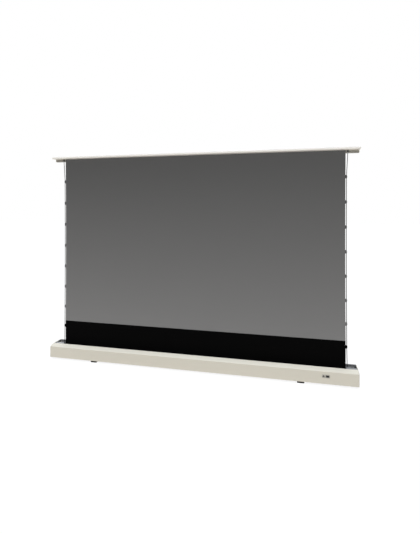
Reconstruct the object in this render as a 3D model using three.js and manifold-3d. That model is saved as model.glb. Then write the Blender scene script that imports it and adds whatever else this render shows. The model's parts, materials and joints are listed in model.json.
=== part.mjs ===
// Pull up projection screen: a low floor case whose folding arms raise a tensioned cloth under a lid.
// Millimetres, +Z up, the screen's face towards -Y, origin on the floor under the middle of the case.
import * as THREE from "three";
import { mergeVertices } from "three/addons/utils/BufferGeometryUtils.js";
import Module from "manifold-3d";

const wasm = await Module();
wasm.setup();

// Fits
const GAP = 0.3; // between pieces that seat on each other
const PIN_GAP = 0.3; // round a pin in its hole
const OPEN_PIVOT_GAP = 0.6; // round the pin of the right upper arm's free end
const OVERRUN = 2; // how far a cutter stands past what it cuts
const BITE = 0.5; // how far two joined shapes of one piece run into each other

// Screen cloth
const SCREEN_WIDTH = 2220; // at the top and bottom of the grey surface
const SCREEN_HEIGHT = 1351; // grey surface, from its seam to the lid
const LEADER_RISE = 173; // black leader, from the case's lip to the seam
const EDGE_BOW = 4.5; // how far each side edge is drawn in at mid-height
const CLOTH_THICK = 0.6;
const EDGE_STEPS = 14;

// Case
const CASE_OVER_CLOTH = 77; // cloth's edge to each end of the case
const CASE_WALL = 2.2;
const SLOPE_DEPTH = 48; // front face to lip
const SLOPE_RISE = 12; // upright face's top to lip
const SLOPE_CROWN = 3; // how far the slope's middle swells above its chord
const LIP_DROP = 10; // the lip's turned down edge
const ROLLER_TO_FRONT = 62.5; // front face to the roller's axis
const BASE_THICK = 2.5;
const BASE_EDGE_HEIGHT = 16;
const BASE_EDGE_THICK = 2;
const BACK_BEAD_DEPTH = 4.4;
const BACK_BEAD_HEIGHT = 6;
const END_CAP_THICK = 3;
const END_CAP_CORNER = 4;
const CAP_PLUG_DEPTH = 6;
const CAP_PLUG_INSET = 9;
const CAP_PLUG_TO_PAD = 10.5;

// Plates at both ends of the opening, and the lid's pads in its rear corners
const RECESS_PLATE_LENGTH = 70;
const RECESS_PLATE_DEPTH = 38;
const RECESS_PLATE_THICK = 2;
const RECESS_PLATE_DROP = 4; // below the lip
const PAD_LENGTH = 13;
const PAD_DEPTH = 16;
const PAD_HEIGHT = 18;
const PAD_RISE = 1.5; // above the end cap
const PAD_SETBACK = 5; // behind the bar's front face

// Feet
const FOOT_HEIGHT = 14;
const FOOT_WIDTH = 50;
const FOOT_SETBACK = 5;
const FOOT_TO_END = 387; // foot's middle to the case's end
const FOOT_CHAMFER = 3;

// Roller
const TUBE_RADIUS = 32.4;
const TUBE_WALL = 2;
const TUBE_TO_CAP = 46; // each tube end to its end cap
const SPOOL_TO_BASE = 2.5;
const SPOOL_TO_LIP = 17;
const GROOVE_ANGLE = 14; // degrees above level, on the cloth's side
const GROOVE_RADIUS = 2.6;
const GROOVE_SLIT = 1.6;
const GROOVE_WALL = 1.8;
const WRAP_DEGREES = 343; // the leader's turn that stays on the tube
const WRAP_STEPS = 44;
const SPOOL_WIDTH = 12;
const SPOOL_RADIUS = 38;
const SPOOL_FLOOR = 34.2;
const SPOOL_FLANGE = 3;
const SPOOL_RIM_SHARE = 0.4; // of the flange, before its slope starts
const SPOOL_TO_CLOTH = 6; // cloth's edge to spool
const PLUG_LENGTH = 38;
const BEARING_RADIUS = 14;
const BEARING_WIDTH = 10;
const SHAFT_RADIUS = 6;
const SHAFT_COLLAR_RADIUS = 10;
const SHAFT_COLLAR_WIDTH = 5;
const MOTOR_RADIUS = 22.5;
const MOTOR_LENGTH = 560;
const MOTOR_HEAD_RADIUS = 28;
const MOTOR_HEAD_WIDTH = 6;
const MOTOR_SPIGOT = 15; // side of its square spigot
const CROWN_WIDTH = 16;
const BRACKET_THICK = 4;
const BRACKET_SETBACK = 5; // inside the front cover
const BRACKET_TO_CLOTH = 6;
const BRACKET_FLANGE = 26;
const BRACKET_TO_CAP = 34; // bracket's outer face to the end cap

// Tabs and tension cords
const TAB_RADIUS = 12.5;
const TAB_THICK = 0.8;
const TAB_BAND = 14; // welded band behind the cloth's edge
const TAB_SLEEVE_WALL = 1;
const SLEEVE_SHARE = 0.75; // of the tab's radius that its sleeve covers
const TAB_HEIGHT_SHARES = [0.861, 0.729, 0.598, 0.4685, 0.341, 0.215, 0.0915]; // of the grey surface
const LEADER_TAB_SHARE = 0.217; // of the leader, below the seam
const LEADER_TAB_SEAT = 10; // welded root of the leader's tab
const CORD_RADIUS = 2;
const CORD_OFFSET = 6.4; // cloth's edge to the cord's middle
const CORD_STEPS = 8;

// Lid
const LID_OVERHANG = 18; // past each end of the case
const LID_THICK = 14;
const LID_WALL = 2;
const LID_CORNER = 3;
const LID_OVER_LIP = 1; // front edge behind the case's lip
const LID_CELLS = 3;
const LID_CAP_THICK = 3;
const BAR_HEIGHT = 20;
const BAR_DEPTH = 24;
const BAR_WALL = 2;
const BAR_CAP_THICK = 3;
const HEM_RADIUS = 2.2;
const HEM_SLIT = 2;
const HEM_WEB = 1.2;
const HEM_SETBACK = 5;
const ANCHOR_WIDTH = 12;
const ANCHOR_DEPTH = 6;
const ANCHOR_HEIGHT = 16;
const ANCHOR_TO_CLOTH = 14; // cloth's edge to the anchor's middle

// Lifting arms
const ELBOW_INSET = 101; // raised elbow, nearer the middle than its arms' pivots
const ARM_RADIUS = 14;
const ARM_THICK = 11;
const ARM_WEB = 3;
const ARM_RIM = 3;
const ARM_SPACE = 2; // between an upper and a lower arm
const ARM_CLEAR_CLOTH = 6.2; // cloth to the upper arm
const ARM_TO_END = 327; // pivot to the case's end
const ARM_PIVOT_HEIGHT = 19; // base pivot above the case's underside
const LUG_DROP = 20; // top pivot below the bar
const LUG_RADIUS = 12;
const LUG_THICK = 4;
const LUG_FLANGE_LENGTH = 50;
const LUG_FLANGE_DEPTH = 20;
const LUG_FLANGE_THICK = 3;
const LUG_FLANGE_SETBACK = 3;
const BASE_LUG_RADIUS = 13;
const BASE_LUG_THICK = 5.7;
const BASE_PLATE_LENGTH = 70;
const BASE_PLATE_DEPTH = 16;
const BASE_PLATE_THICK = 4;
const PIN_RADIUS = 6;
const PIN_HEAD_RADIUS = 9;
const PIN_HEAD_THICK = 2.4;
const PIN_TAIL = 2; // how far a pin stands out behind its last piece
const DRUM_RADIUS = 24;
const DRUM_WALL = 1.2;
const DRUM_DEPTH = 6.5;
const DRUM_TO_COVER = 3; // lowered drum to the back cover's inside
const SPRING_WIDTH = 3.5;
const SPRING_THICK = 0.8;
const SPRING_TURNS = 3.5;
const SPRING_STEPS = 16; // for each turn

// Controls and power
const WINDOW_TO_END = 217.3; // window's middle to the case's end
const WINDOW_RISE = 52.6; // window's middle above the case's underside
const WINDOW_WIDTH = 53;
const WINDOW_HEIGHT = 24;
const WINDOW_THICK = 1.2;
const WINDOW_SEAT = 3; // rim of the cover that carries the window
const WINDOW_POST = 3;
const WINDOW_POST_INSET = 4.9; // post's middle to the window's ends and top
const BUTTON_RADIUS = 3.6;
const BUTTON_OFFSET = -16.5;
const BUTTON_RECESS = 0.2;
const BUTTON_STEM_RADIUS = 2;
const BUTTON_COLLAR = 1.2;
const BUTTON_COLLAR_RADIUS = 4.8;
const BUTTON_TRAVEL = 0.8;
const LENS_WIDTH = 17;
const LENS_HEIGHT = 9;
const LENS_OFFSET = 10;
const LENS_STEP = 1.2; // the lens's rim behind the window
const LENS_DEPTH = 3;
const BOARD_GAP = 8; // window to board
const BOARD_THICK = 1.6;
const BOARD_WIDTH = 60;
const BOARD_HEIGHT = 34;
const SWITCH_SIZE = 6;
const SWITCH_DEPTH = 3.5;
const SUPPLY_LENGTH = 100;
const SUPPLY_HEIGHT = 60;
const SUPPLY_TO_END = 125;
const SUPPLY_SETBACK = 4.8; // supply to the back cover's inside
const SUPPLY_TO_CLOTH = 5.2;
const INLET_TO_END = 202;
const INLET_RISE = 32; // inlet's middle above the case's underside
const INLET_WIDTH = 34;
const INLET_HEIGHT = 26;
const INLET_DEPTH = 24;
const SOCKET_WIDTH = 24;
const SOCKET_HEIGHT = 16;
const SOCKET_DEPTH = 17;
const BLADE_WIDTH = 2;
const BLADE_HEIGHT = 4;
const BLADE_LENGTH = 8;
const BLADE_PITCH = 7;

const ROUND_STEPS = 32;
const SMALL_STEPS = 16;
const CURVE_STEPS = 6;
const TUBE_CURVE_STEPS = 18;

// Places worked out from the sizes
const CASE_LENGTH = SCREEN_WIDTH + 2 * CASE_OVER_CLOTH;
const CASE_END_X = CASE_LENGTH / 2;
const LID_LENGTH = CASE_LENGTH + 2 * LID_OVERHANG;
const WRAP_INNER = TUBE_RADIUS + GAP;
const WRAP_MIDDLE = WRAP_INNER + CLOTH_THICK / 2;
const CLOTH_TO_FRONT = ROLLER_TO_FRONT + WRAP_MIDDLE;
const ARMS_DEPTH = 2 * ARM_THICK + ARM_SPACE + GAP + DRUM_DEPTH;
const CLOTH_TO_BACK = CLOTH_THICK / 2 + ARM_CLEAR_CLOTH + ARMS_DEPTH + DRUM_TO_COVER + CASE_WALL;
const CASE_DEPTH = CLOTH_TO_FRONT + CLOTH_TO_BACK;
const FRONT_Y = -CASE_DEPTH / 2;
const BACK_Y = CASE_DEPTH / 2;
const CLOTH_Y = FRONT_Y + CLOTH_TO_FRONT;
const CLOTH_BACK_Y = CLOTH_Y + CLOTH_THICK / 2;
const LIP_Y = FRONT_Y + SLOPE_DEPTH;
const BACK_INNER_Y = BACK_Y - CASE_WALL;
const CASE_Z = FOOT_HEIGHT;
const INSIDE_Z = CASE_Z + BASE_THICK;
const ROLLER_Z = INSIDE_Z + SPOOL_TO_BASE + SPOOL_RADIUS;
const LIP_Z = ROLLER_Z + SPOOL_RADIUS + SPOOL_TO_LIP;
const FACE_TOP_Z = LIP_Z - SLOPE_RISE;
const PAD_TOP_Z = LIP_Z + PAD_RISE;
const SEAM_Z = LIP_Z + LEADER_RISE;
const LID_Z = SEAM_Z + SCREEN_HEIGHT;
const BAR_Z = LID_Z - BAR_HEIGHT;
const BAR_FRONT_Y = CLOTH_BACK_Y + GAP;
const CAP_INNER_X = CASE_END_X - END_CAP_THICK;
const COVER_X = CAP_INNER_X - GAP;
const HALF_SCREEN = SCREEN_WIDTH / 2;
const ROLLER_Y = CLOTH_Y - WRAP_MIDDLE;
const TUBE_X = CAP_INNER_X - TUBE_TO_CAP;
const BRACKET_X = CAP_INNER_X - BRACKET_TO_CAP;
const MOTOR_END_X = -(BRACKET_X - BRACKET_THICK) + GAP + MOTOR_HEAD_WIDTH + MOTOR_LENGTH;
const BEARING_X = TUBE_X - BEARING_WIDTH;
const UPPER_ARM_Y = CLOTH_BACK_Y + ARM_CLEAR_CLOTH;
const LOWER_ARM_Y = UPPER_ARM_Y + ARM_THICK + ARM_SPACE;
const BASE_PIVOT_Z = CASE_Z + ARM_PIVOT_HEIGHT;
const TOP_PIVOT_Z = BAR_Z - LUG_DROP;
const ARM_PIVOT_X = CASE_END_X - ARM_TO_END;
const ELBOW_X = ARM_PIVOT_X - ELBOW_INSET;
const ELBOW_RISE = (TOP_PIVOT_Z - BASE_PIVOT_Z) / 2;
const ARM_LENGTH = Math.hypot(ELBOW_RISE, ELBOW_INSET); // between pivots
const ARM_ANGLE = Math.atan2(ELBOW_RISE, ELBOW_INSET);
const SPOOL_X = HALF_SCREEN + SPOOL_TO_CLOTH + SPOOL_WIDTH / 2;
const ANCHOR_X = HALF_SCREEN + ANCHOR_TO_CLOTH;
const FOOT_CENTRE = CASE_END_X - FOOT_TO_END;
const WINDOW_X = CASE_END_X - WINDOW_TO_END;
const WINDOW_Z = CASE_Z + WINDOW_RISE;
const SUPPLY_X = CASE_END_X - SUPPLY_TO_END;
const INLET_X = CASE_END_X - INLET_TO_END;
const INLET_Z = CASE_Z + INLET_RISE;

const paint = (color, roughness, metalness) =>
  new THREE.MeshStandardMaterial({ color, roughness, metalness });
const MATERIALS = {
  case: paint(0xcbc7bb, 0.45, 0.1),
  lid: paint(0xe2dfda, 0.4, 0.1),
  bar: paint(0x928e84, 0.5, 0.3),
  surface: paint(0x5c5c5c, 0.8, 0),
  leader: paint(0x080808, 0.9, 0),
  cord: paint(0x555555, 0.7, 0),
  dark: paint(0x2c251b, 0.8, 0),
  steel: paint(0x8a8c8e, 0.4, 0.9),
  aluminium: paint(0xb4b6b8, 0.35, 0.9),
  recess: paint(0x848484, 0.5, 0.4),
  plastic: paint(0x9e9a92, 0.5, 0),
  lens: paint(0x0c0c10, 0.1, 0),
  board: paint(0x1e5a3a, 0.6, 0),
};

// Booleans on closed geometries
const solid = (geometry) => {
  const bare = geometry.clone();
  bare.deleteAttribute("normal");
  bare.deleteAttribute("uv");
  const merged = mergeVertices(bare);
  const vertProperties = merged.attributes.position.array;
  return new wasm.Manifold(new wasm.Mesh({ numProp: 3, vertProperties, triVerts: merged.index.array }));
};
const geometryOf = (made) => {
  const mesh = made.getMesh();
  const geometry = new THREE.BufferGeometry();
  geometry.setAttribute("position", new THREE.BufferAttribute(mesh.vertProperties, 3));
  geometry.setIndex(new THREE.BufferAttribute(mesh.triVerts, 1));
  return geometry;
};
const join = (...pieces) => geometryOf(pieces.map(solid).reduce((all, one) => all.add(one)));
const cut = (first, ...others) =>
  geometryOf(others.map(solid).reduce((all, one) => all.subtract(one), solid(first)));

// Extrusions of a shape drawn in the two other axes: (Y, Z) along X, and (X, Z) along Y
const AXIS_X = new THREE.Vector3(1, 0, 0);
const AXIS_Y = new THREE.Vector3(0, 1, 0);
const AXIS_Z = new THREE.Vector3(0, 0, 1);
const extrude = (shape, depth, curveSegments) =>
  new THREE.ExtrudeGeometry(shape, { depth, bevelEnabled: false, curveSegments });
const alongX = (shape, from, to, steps = CURVE_STEPS) =>
  extrude(shape, to - from, steps)
    .applyMatrix4(new THREE.Matrix4().makeBasis(AXIS_Y, AXIS_Z, AXIS_X))
    .translate(from, 0, 0);
const alongY = (shape, from, to, steps = CURVE_STEPS) =>
  extrude(shape, to - from, steps)
    .applyMatrix4(new THREE.Matrix4().makeBasis(AXIS_X, AXIS_Z, AXIS_Y.clone().negate()))
    .translate(0, to, 0);
const box = (x0, x1, y0, y1, z0, z1) =>
  new THREE.BoxGeometry(x1 - x0, y1 - y0, z1 - z0).translate((x0 + x1) / 2, (y0 + y1) / 2, (z0 + z1) / 2);
const rodX = (y, z, radius, from, to, steps = ROUND_STEPS) =>
  new THREE.CylinderGeometry(radius, radius, to - from, steps)
    .rotateZ(-Math.PI / 2)
    .translate((from + to) / 2, y, z);
const rodY = (x, z, radius, from, to, steps = SMALL_STEPS) =>
  new THREE.CylinderGeometry(radius, radius, to - from, steps).translate(x, (from + to) / 2, z);
const polygon = (points) => new THREE.Shape(points.map(([x, y]) => new THREE.Vector2(x, y)));
const stadium = (length, radius) => {
  const shape = new THREE.Shape();
  shape.absarc(length, 0, radius, -Math.PI / 2, Math.PI / 2, false);
  shape.absarc(0, 0, radius, Math.PI / 2, (3 * Math.PI) / 2, false);
  return shape;
};
const roundedBox = (x0, x1, y0, y1, radius) => {
  const shape = new THREE.Shape();
  shape.absarc(x1 - radius, y0 + radius, radius, -Math.PI / 2, 0, false);
  shape.absarc(x1 - radius, y1 - radius, radius, 0, Math.PI / 2, false);
  shape.absarc(x0 + radius, y1 - radius, radius, Math.PI / 2, Math.PI, false);
  shape.absarc(x0 + radius, y0 + radius, radius, Math.PI, (3 * Math.PI) / 2, false);
  return shape;
};

// The part, with one group for each body that moves
const part = new THREE.Group();
const place = (name, geometry, material, group = part) => {
  const mesh = new THREE.Mesh(geometry, MATERIALS[material]);
  mesh.name = name;
  group.add(mesh);
  return mesh;
};
const SIDES = [
  ["left", -1],
  ["right", 1],
];
// A box given for the right side, laid on either side of the middle
const sideBox = (side, x0, x1, y0, y1, z0, z1) =>
  box(Math.min(side * x0, side * x1), Math.max(side * x0, side * x1), y0, y1, z0, z1);
const sideRodX = (side, y, z, radius, x0, x1, steps) =>
  rodX(y, z, radius, Math.min(side * x0, side * x1), Math.max(side * x0, side * x1), steps);
const sideAlongX = (side, shape, x0, x1) =>
  alongX(shape, Math.min(side * x0, side * x1), Math.max(side * x0, side * x1));

// Case: base tray, covers and end caps
function caseBase() {
  const y = BACK_INNER_Y - GAP;
  const inner = y - BASE_EDGE_THICK;
  const top = CASE_Z + BASE_EDGE_HEIGHT;
  const tray = polygon([
    [-y, CASE_Z],
    [y, CASE_Z],
    [y, top],
    [inner, top],
    [inner, INSIDE_Z],
    [-inner, INSIDE_Z],
    [-inner, top],
    [-y, top],
  ]);
  return alongX(tray, -COVER_X, COVER_X);
}

// The slope from the front face to the lip, set in by a wall's thickness
function slopeTo(shape, inset, fromFront) {
  const low = [FRONT_Y + inset, FACE_TOP_Z - inset / 2];
  const high = [LIP_Y - inset, LIP_Z - inset];
  const [from, to] = fromFront ? [low, high] : [high, low];
  const middle = [(low[0] + high[0]) / 2, (low[1] + high[1]) / 2 + SLOPE_CROWN];
  shape.lineTo(from[0], from[1]);
  shape.quadraticCurveTo(middle[0], middle[1], to[0], to[1]);
}

function frontCover() {
  const skin = new THREE.Shape();
  skin.moveTo(FRONT_Y, CASE_Z);
  skin.lineTo(FRONT_Y + CASE_WALL, CASE_Z);
  slopeTo(skin, CASE_WALL, true);
  skin.lineTo(LIP_Y - CASE_WALL, LIP_Z - LIP_DROP);
  skin.lineTo(LIP_Y, LIP_Z - LIP_DROP);
  skin.lineTo(LIP_Y, LIP_Z);
  slopeTo(skin, 0, false);
  const pocket = windowBox(0, FRONT_Y - OVERRUN, FRONT_Y + WINDOW_THICK + GAP);
  const through = windowBox(-WINDOW_SEAT, FRONT_Y - OVERRUN, FRONT_Y + CASE_WALL + OVERRUN);
  return cut(alongX(skin, -COVER_X, COVER_X), pocket, through);
}

// A box on the control window's place, larger or smaller all round than the window by grow
function windowBox(grow, y0, y1) {
  const half = WINDOW_WIDTH / 2 + grow;
  const rise = WINDOW_HEIGHT / 2 + grow;
  return box(WINDOW_X - half, WINDOW_X + half, y0, y1, WINDOW_Z - rise, WINDOW_Z + rise);
}

function backCover() {
  const bead = BACK_Y - BACK_BEAD_DEPTH;
  const wall = polygon([
    [BACK_INNER_Y, CASE_Z],
    [BACK_Y, CASE_Z],
    [BACK_Y, LIP_Z],
    [bead, LIP_Z],
    [bead, LIP_Z - BACK_BEAD_HEIGHT],
    [BACK_INNER_Y, LIP_Z - BACK_BEAD_HEIGHT],
  ]);
  return cut(alongX(wall, -COVER_X, COVER_X), socketBox(BACK_INNER_Y - OVERRUN, BACK_Y + OVERRUN));
}

function socketBox(y0, y1) {
  const half = SOCKET_WIDTH / 2;
  const rise = SOCKET_HEIGHT / 2;
  return box(INLET_X - half, INLET_X + half, y0, y1, INLET_Z - rise, INLET_Z + rise);
}

function endCap(side) {
  const outline = new THREE.Shape();
  outline.moveTo(FRONT_Y, CASE_Z);
  slopeTo(outline, 0, true);
  outline.absarc(BACK_Y - END_CAP_CORNER, LIP_Z - END_CAP_CORNER, END_CAP_CORNER, Math.PI / 2, 0, true);
  outline.lineTo(BACK_Y, CASE_Z);
  const plate = sideAlongX(side, outline, CAP_INNER_X, CASE_END_X);
  const plugY = BACK_Y - CAP_PLUG_INSET;
  const plugZ = CASE_Z + CAP_PLUG_INSET;
  const plugX = CAP_INNER_X - CAP_PLUG_DEPTH;
  const plugTop = PAD_TOP_Z - PAD_HEIGHT - CAP_PLUG_TO_PAD;
  const plug = sideBox(side, plugX, CAP_INNER_X + BITE, -plugY, plugY, plugZ, plugTop);
  return join(plate, plug);
}

function recessPlate(side) {
  const y = LIP_Y + GAP;
  const top = LIP_Z - RECESS_PLATE_DROP;
  const x = COVER_X - RECESS_PLATE_LENGTH;
  return sideBox(side, x, COVER_X, y, y + RECESS_PLATE_DEPTH, top - RECESS_PLATE_THICK, top);
}

function lidPad(side) {
  const y = BAR_FRONT_Y + PAD_SETBACK;
  return sideBox(side, COVER_X - PAD_LENGTH, COVER_X, y, y + PAD_DEPTH, PAD_TOP_Z - PAD_HEIGHT, PAD_TOP_Z);
}

function foot(side) {
  const y = BACK_Y - FOOT_SETBACK;
  const half = FOOT_WIDTH / 2;
  const top = CASE_Z - GAP;
  const section = polygon([
    [-half + FOOT_CHAMFER, 0],
    [half - FOOT_CHAMFER, 0],
    [half, FOOT_CHAMFER],
    [half, top],
    [-half, top],
    [-half, FOOT_CHAMFER],
  ]);
  return alongY(section, -y, y).translate(side * FOOT_CENTRE, 0, 0);
}

place("case_base", caseBase(), "case");
place("case_front_cover", frontCover(), "case");
place("case_back_cover", backCover(), "case");
for (const [name, side] of SIDES) {
  place(name + "_end_cap", endCap(side), "case");
  place(name + "_recess_plate", recessPlate(side), "recess");
  place(name + "_lid_pad", lidPad(side), "dark");
  place(name + "_foot", foot(side), "dark");
}

// Roller: tube with its groove, spline, wrap of leader, spools, and what carries and drives it
const GROOVE = THREE.MathUtils.degToRad(GROOVE_ANGLE);
const GROOVE_DEPTH = TUBE_RADIUS - TUBE_WALL - GROOVE_RADIUS / 2;
const GROOVE_Y = ROLLER_Y + GROOVE_DEPTH * Math.cos(GROOVE);
const GROOVE_Z = ROLLER_Z + GROOVE_DEPTH * Math.sin(GROOVE);
const GROOVE_BOSS = GROOVE_RADIUS + GROOVE_WALL;
const grooveBoss = (grow, from, to) => rodX(GROOVE_Y, GROOVE_Z, GROOVE_BOSS + grow, from, to, SMALL_STEPS);

// The tube's section: a slit leads into a round pocket, whose boss stands inside the wall
function rollerTube() {
  const inner = TUBE_RADIUS - TUBE_WALL;
  const slit = Math.asin(GROOVE_SLIT / 2 / TUBE_RADIUS);
  const mouth = Math.asin(GROOVE_SLIT / 2 / GROOVE_RADIUS);
  const meet = Math.acos((inner ** 2 + GROOVE_DEPTH ** 2 - GROOVE_BOSS ** 2) / (2 * inner * GROOVE_DEPTH));
  const turn = Math.atan2(inner * Math.sin(meet), inner * Math.cos(meet) - GROOVE_DEPTH);
  const full = 2 * Math.PI;
  const section = new THREE.Shape();
  section.absarc(ROLLER_Y, ROLLER_Z, TUBE_RADIUS, GROOVE + slit, GROOVE + full - slit, false);
  section.absarc(GROOVE_Y, GROOVE_Z, GROOVE_RADIUS, GROOVE + full - mouth, GROOVE + mouth, true);
  const bore = new THREE.Path();
  bore.absarc(ROLLER_Y, ROLLER_Z, inner, GROOVE + meet, GROOVE + full - meet, false);
  bore.absarc(GROOVE_Y, GROOVE_Z, GROOVE_BOSS, GROOVE + full - turn, GROOVE + turn, true);
  section.holes.push(bore);
  return alongX(section, -TUBE_X, TUBE_X, TUBE_CURVE_STEPS);
}

// A band of cloth round the roller, from just below the tangent point, down and round under the tube
function clothWrap() {
  const start = -(GAP / 2) / WRAP_MIDDLE;
  const end = -THREE.MathUtils.degToRad(WRAP_DEGREES);
  const point = (radius, step) => {
    const angle = start + ((end - start) * step) / WRAP_STEPS;
    return [ROLLER_Y + radius * Math.cos(angle), ROLLER_Z + radius * Math.sin(angle)];
  };
  const steps = [...Array(WRAP_STEPS + 1).keys()];
  const outer = steps.map((step) => point(WRAP_INNER + CLOTH_THICK, step));
  const inner = steps.map((step) => point(WRAP_INNER, step)).reverse();
  return alongX(polygon([...outer, ...inner]), -HALF_SCREEN, HALF_SCREEN);
}

function ringProfile(points) {
  return new THREE.LatheGeometry(
    [...points, points[0]].map(([x, y]) => new THREE.Vector2(x, y)),
    ROUND_STEPS,
  );
}

function cordSpool(side) {
  const half = SPOOL_WIDTH / 2;
  const floor = half - SPOOL_FLANGE;
  const rim = SPOOL_FLANGE * SPOOL_RIM_SHARE;
  const ring = ringProfile([
    [WRAP_INNER, -half],
    [SPOOL_RADIUS, -half],
    [SPOOL_RADIUS, -half + rim],
    [SPOOL_FLOOR, -floor],
    [SPOOL_FLOOR, floor],
    [SPOOL_RADIUS, half - rim],
    [SPOOL_RADIUS, half],
    [WRAP_INNER, half],
  ]);
  return ring.rotateZ(-Math.PI / 2).translate(side * SPOOL_X, ROLLER_Y, ROLLER_Z);
}

function plugRing(from, to, bore) {
  const outer = rodX(ROLLER_Y, ROLLER_Z, TUBE_RADIUS - TUBE_WALL - GAP, from, to);
  const hole = rodX(ROLLER_Y, ROLLER_Z, bore, from - OVERRUN, to + OVERRUN, SMALL_STEPS);
  return cut(outer, hole, grooveBoss(GAP, from - OVERRUN, to + OVERRUN));
}

function idlerPlug() {
  const from = TUBE_X - PLUG_LENGTH;
  const seat = TUBE_X - BEARING_WIDTH - OVERRUN;
  const bore = rodX(ROLLER_Y, ROLLER_Z, BEARING_RADIUS + GAP, seat, TUBE_X + OVERRUN);
  return cut(plugRing(from, TUBE_X, SHAFT_RADIUS + OVERRUN), bore);
}

function rollerBracket(side) {
  const outer = BRACKET_X;
  const inner = outer - BRACKET_THICK;
  const y = -BACK_INNER_Y + BRACKET_SETBACK;
  const back = CLOTH_Y - BRACKET_TO_CLOTH;
  const floor = INSIDE_Z + GAP;
  const top = LIP_Z - RECESS_PLATE_DROP - RECESS_PLATE_THICK - GAP;
  const web = sideAlongX(
    side,
    polygon([
      [y, floor],
      [back, floor],
      [back, top],
      [LIP_Y + GAP, top],
      [LIP_Y + GAP, LIP_Z - LIP_DROP - BRACKET_SETBACK],
      [y, FACE_TOP_Z - 2 * BRACKET_SETBACK],
    ]),
    inner,
    outer,
  );
  const flange = sideBox(side, outer - BITE, outer + BRACKET_FLANGE, y, back, floor, floor + BRACKET_THICK);
  const blank = join(web, flange);
  const from = inner - OVERRUN;
  const to = outer + OVERRUN;
  if (side > 0) {
    return cut(blank, sideRodX(side, ROLLER_Y, ROLLER_Z, SHAFT_RADIUS + PIN_GAP, from, to, SMALL_STEPS));
  }
  const half = MOTOR_SPIGOT / 2 + GAP;
  const seat = sideBox(side, from, to, ROLLER_Y - half, ROLLER_Y + half, ROLLER_Z - half, ROLLER_Z + half);
  return cut(blank, seat);
}

function tubularMotor() {
  const bracketInner = BRACKET_X - BRACKET_THICK;
  const headX = -bracketInner + GAP;
  const bodyX = headX + MOTOR_HEAD_WIDTH;
  const half = MOTOR_SPIGOT / 2;
  const spigotX = -BRACKET_X - BRACKET_THICK / 2;
  return join(
    rodX(ROLLER_Y, ROLLER_Z, MOTOR_HEAD_RADIUS, headX, bodyX),
    rodX(ROLLER_Y, ROLLER_Z, MOTOR_RADIUS, bodyX - BITE, bodyX + MOTOR_LENGTH),
    rodX(ROLLER_Y, ROLLER_Z, SHAFT_RADIUS, bodyX, MOTOR_END_X + GAP + CROWN_WIDTH + OVERRUN, SMALL_STEPS),
    box(spigotX, headX + BITE, ROLLER_Y - half, ROLLER_Y + half, ROLLER_Z - half, ROLLER_Z + half),
  );
}

function idlerShaft() {
  const seat = BRACKET_X - BRACKET_THICK - GAP;
  return join(
    rodX(ROLLER_Y, ROLLER_Z, SHAFT_RADIUS, TUBE_X - PLUG_LENGTH / 2, BRACKET_X + BRACKET_THICK, SMALL_STEPS),
    rodX(ROLLER_Y, ROLLER_Z, SHAFT_COLLAR_RADIUS, seat - SHAFT_COLLAR_WIDTH, seat, SMALL_STEPS),
  );
}

place("left_roller_bracket", rollerBracket(-1), "steel");
place("right_roller_bracket", rollerBracket(1), "steel");
place("tubular_motor", tubularMotor(), "steel");
place("idler_shaft", idlerShaft(), "steel");

const roller = new THREE.Group();
part.add(roller);
place("roller_tube", rollerTube(), "aluminium", roller);
place(
  "leader_spline",
  rodX(GROOVE_Y, GROOVE_Z, GROOVE_RADIUS - GAP, -HALF_SCREEN, HALF_SCREEN, SMALL_STEPS),
  "plastic",
  roller,
);
place("leader_wrap", clothWrap(), "leader", roller);
place(
  "drive_crown",
  plugRing(MOTOR_END_X + GAP, MOTOR_END_X + GAP + CROWN_WIDTH, SHAFT_RADIUS + PIN_GAP),
  "plastic",
  roller,
);
place("idler_plug", idlerPlug(), "plastic", roller);
place(
  "idler_bearing",
  cut(
    rodX(ROLLER_Y, ROLLER_Z, BEARING_RADIUS, BEARING_X, TUBE_X),
    rodX(ROLLER_Y, ROLLER_Z, SHAFT_RADIUS + PIN_GAP, BEARING_X - OVERRUN, TUBE_X + OVERRUN, SMALL_STEPS),
  ),
  "steel",
  roller,
);
for (const [name, side] of SIDES) place(name + "_cord_spool", cordSpool(side), "plastic", roller);

// Screen: grey surface, black leader, edge tabs and tension cords
const edgeAt = (z) => {
  const middle = SEAM_Z + SCREEN_HEIGHT / 2;
  const share = Math.min(Math.abs(z - middle) / (SCREEN_HEIGHT / 2), 1);
  return HALF_SCREEN - EDGE_BOW * (1 - share * share);
};
// Points up a side edge, moved in from it by inset
const edgePoints = (z0, z1, inset) =>
  [...Array(EDGE_STEPS + 1).keys()].map((step) => {
    const z = z0 + ((z1 - z0) * step) / EDGE_STEPS;
    return [edgeAt(z) - inset, z];
  });

function screenSurface() {
  const right = edgePoints(SEAM_Z + GAP / 2, LID_Z - GAP, 0);
  const left = right.map(([x, z]) => [-x, z]).reverse();
  return alongY(polygon([...right, ...left]), CLOTH_Y - CLOTH_THICK / 2, CLOTH_BACK_Y);
}

function blackLeader() {
  const low = ROLLER_Z + GAP / 2;
  const high = SEAM_Z - GAP / 2;
  return box(-HALF_SCREEN, HALF_SCREEN, CLOTH_Y - CLOTH_THICK / 2, CLOTH_BACK_Y, low, high);
}

const SLEEVE_BORE = CORD_RADIUS + GAP;
const SLEEVE_RADIUS = SLEEVE_BORE + TAB_SLEEVE_WALL;
const TAB_Y = CLOTH_BACK_Y + GAP;

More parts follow.
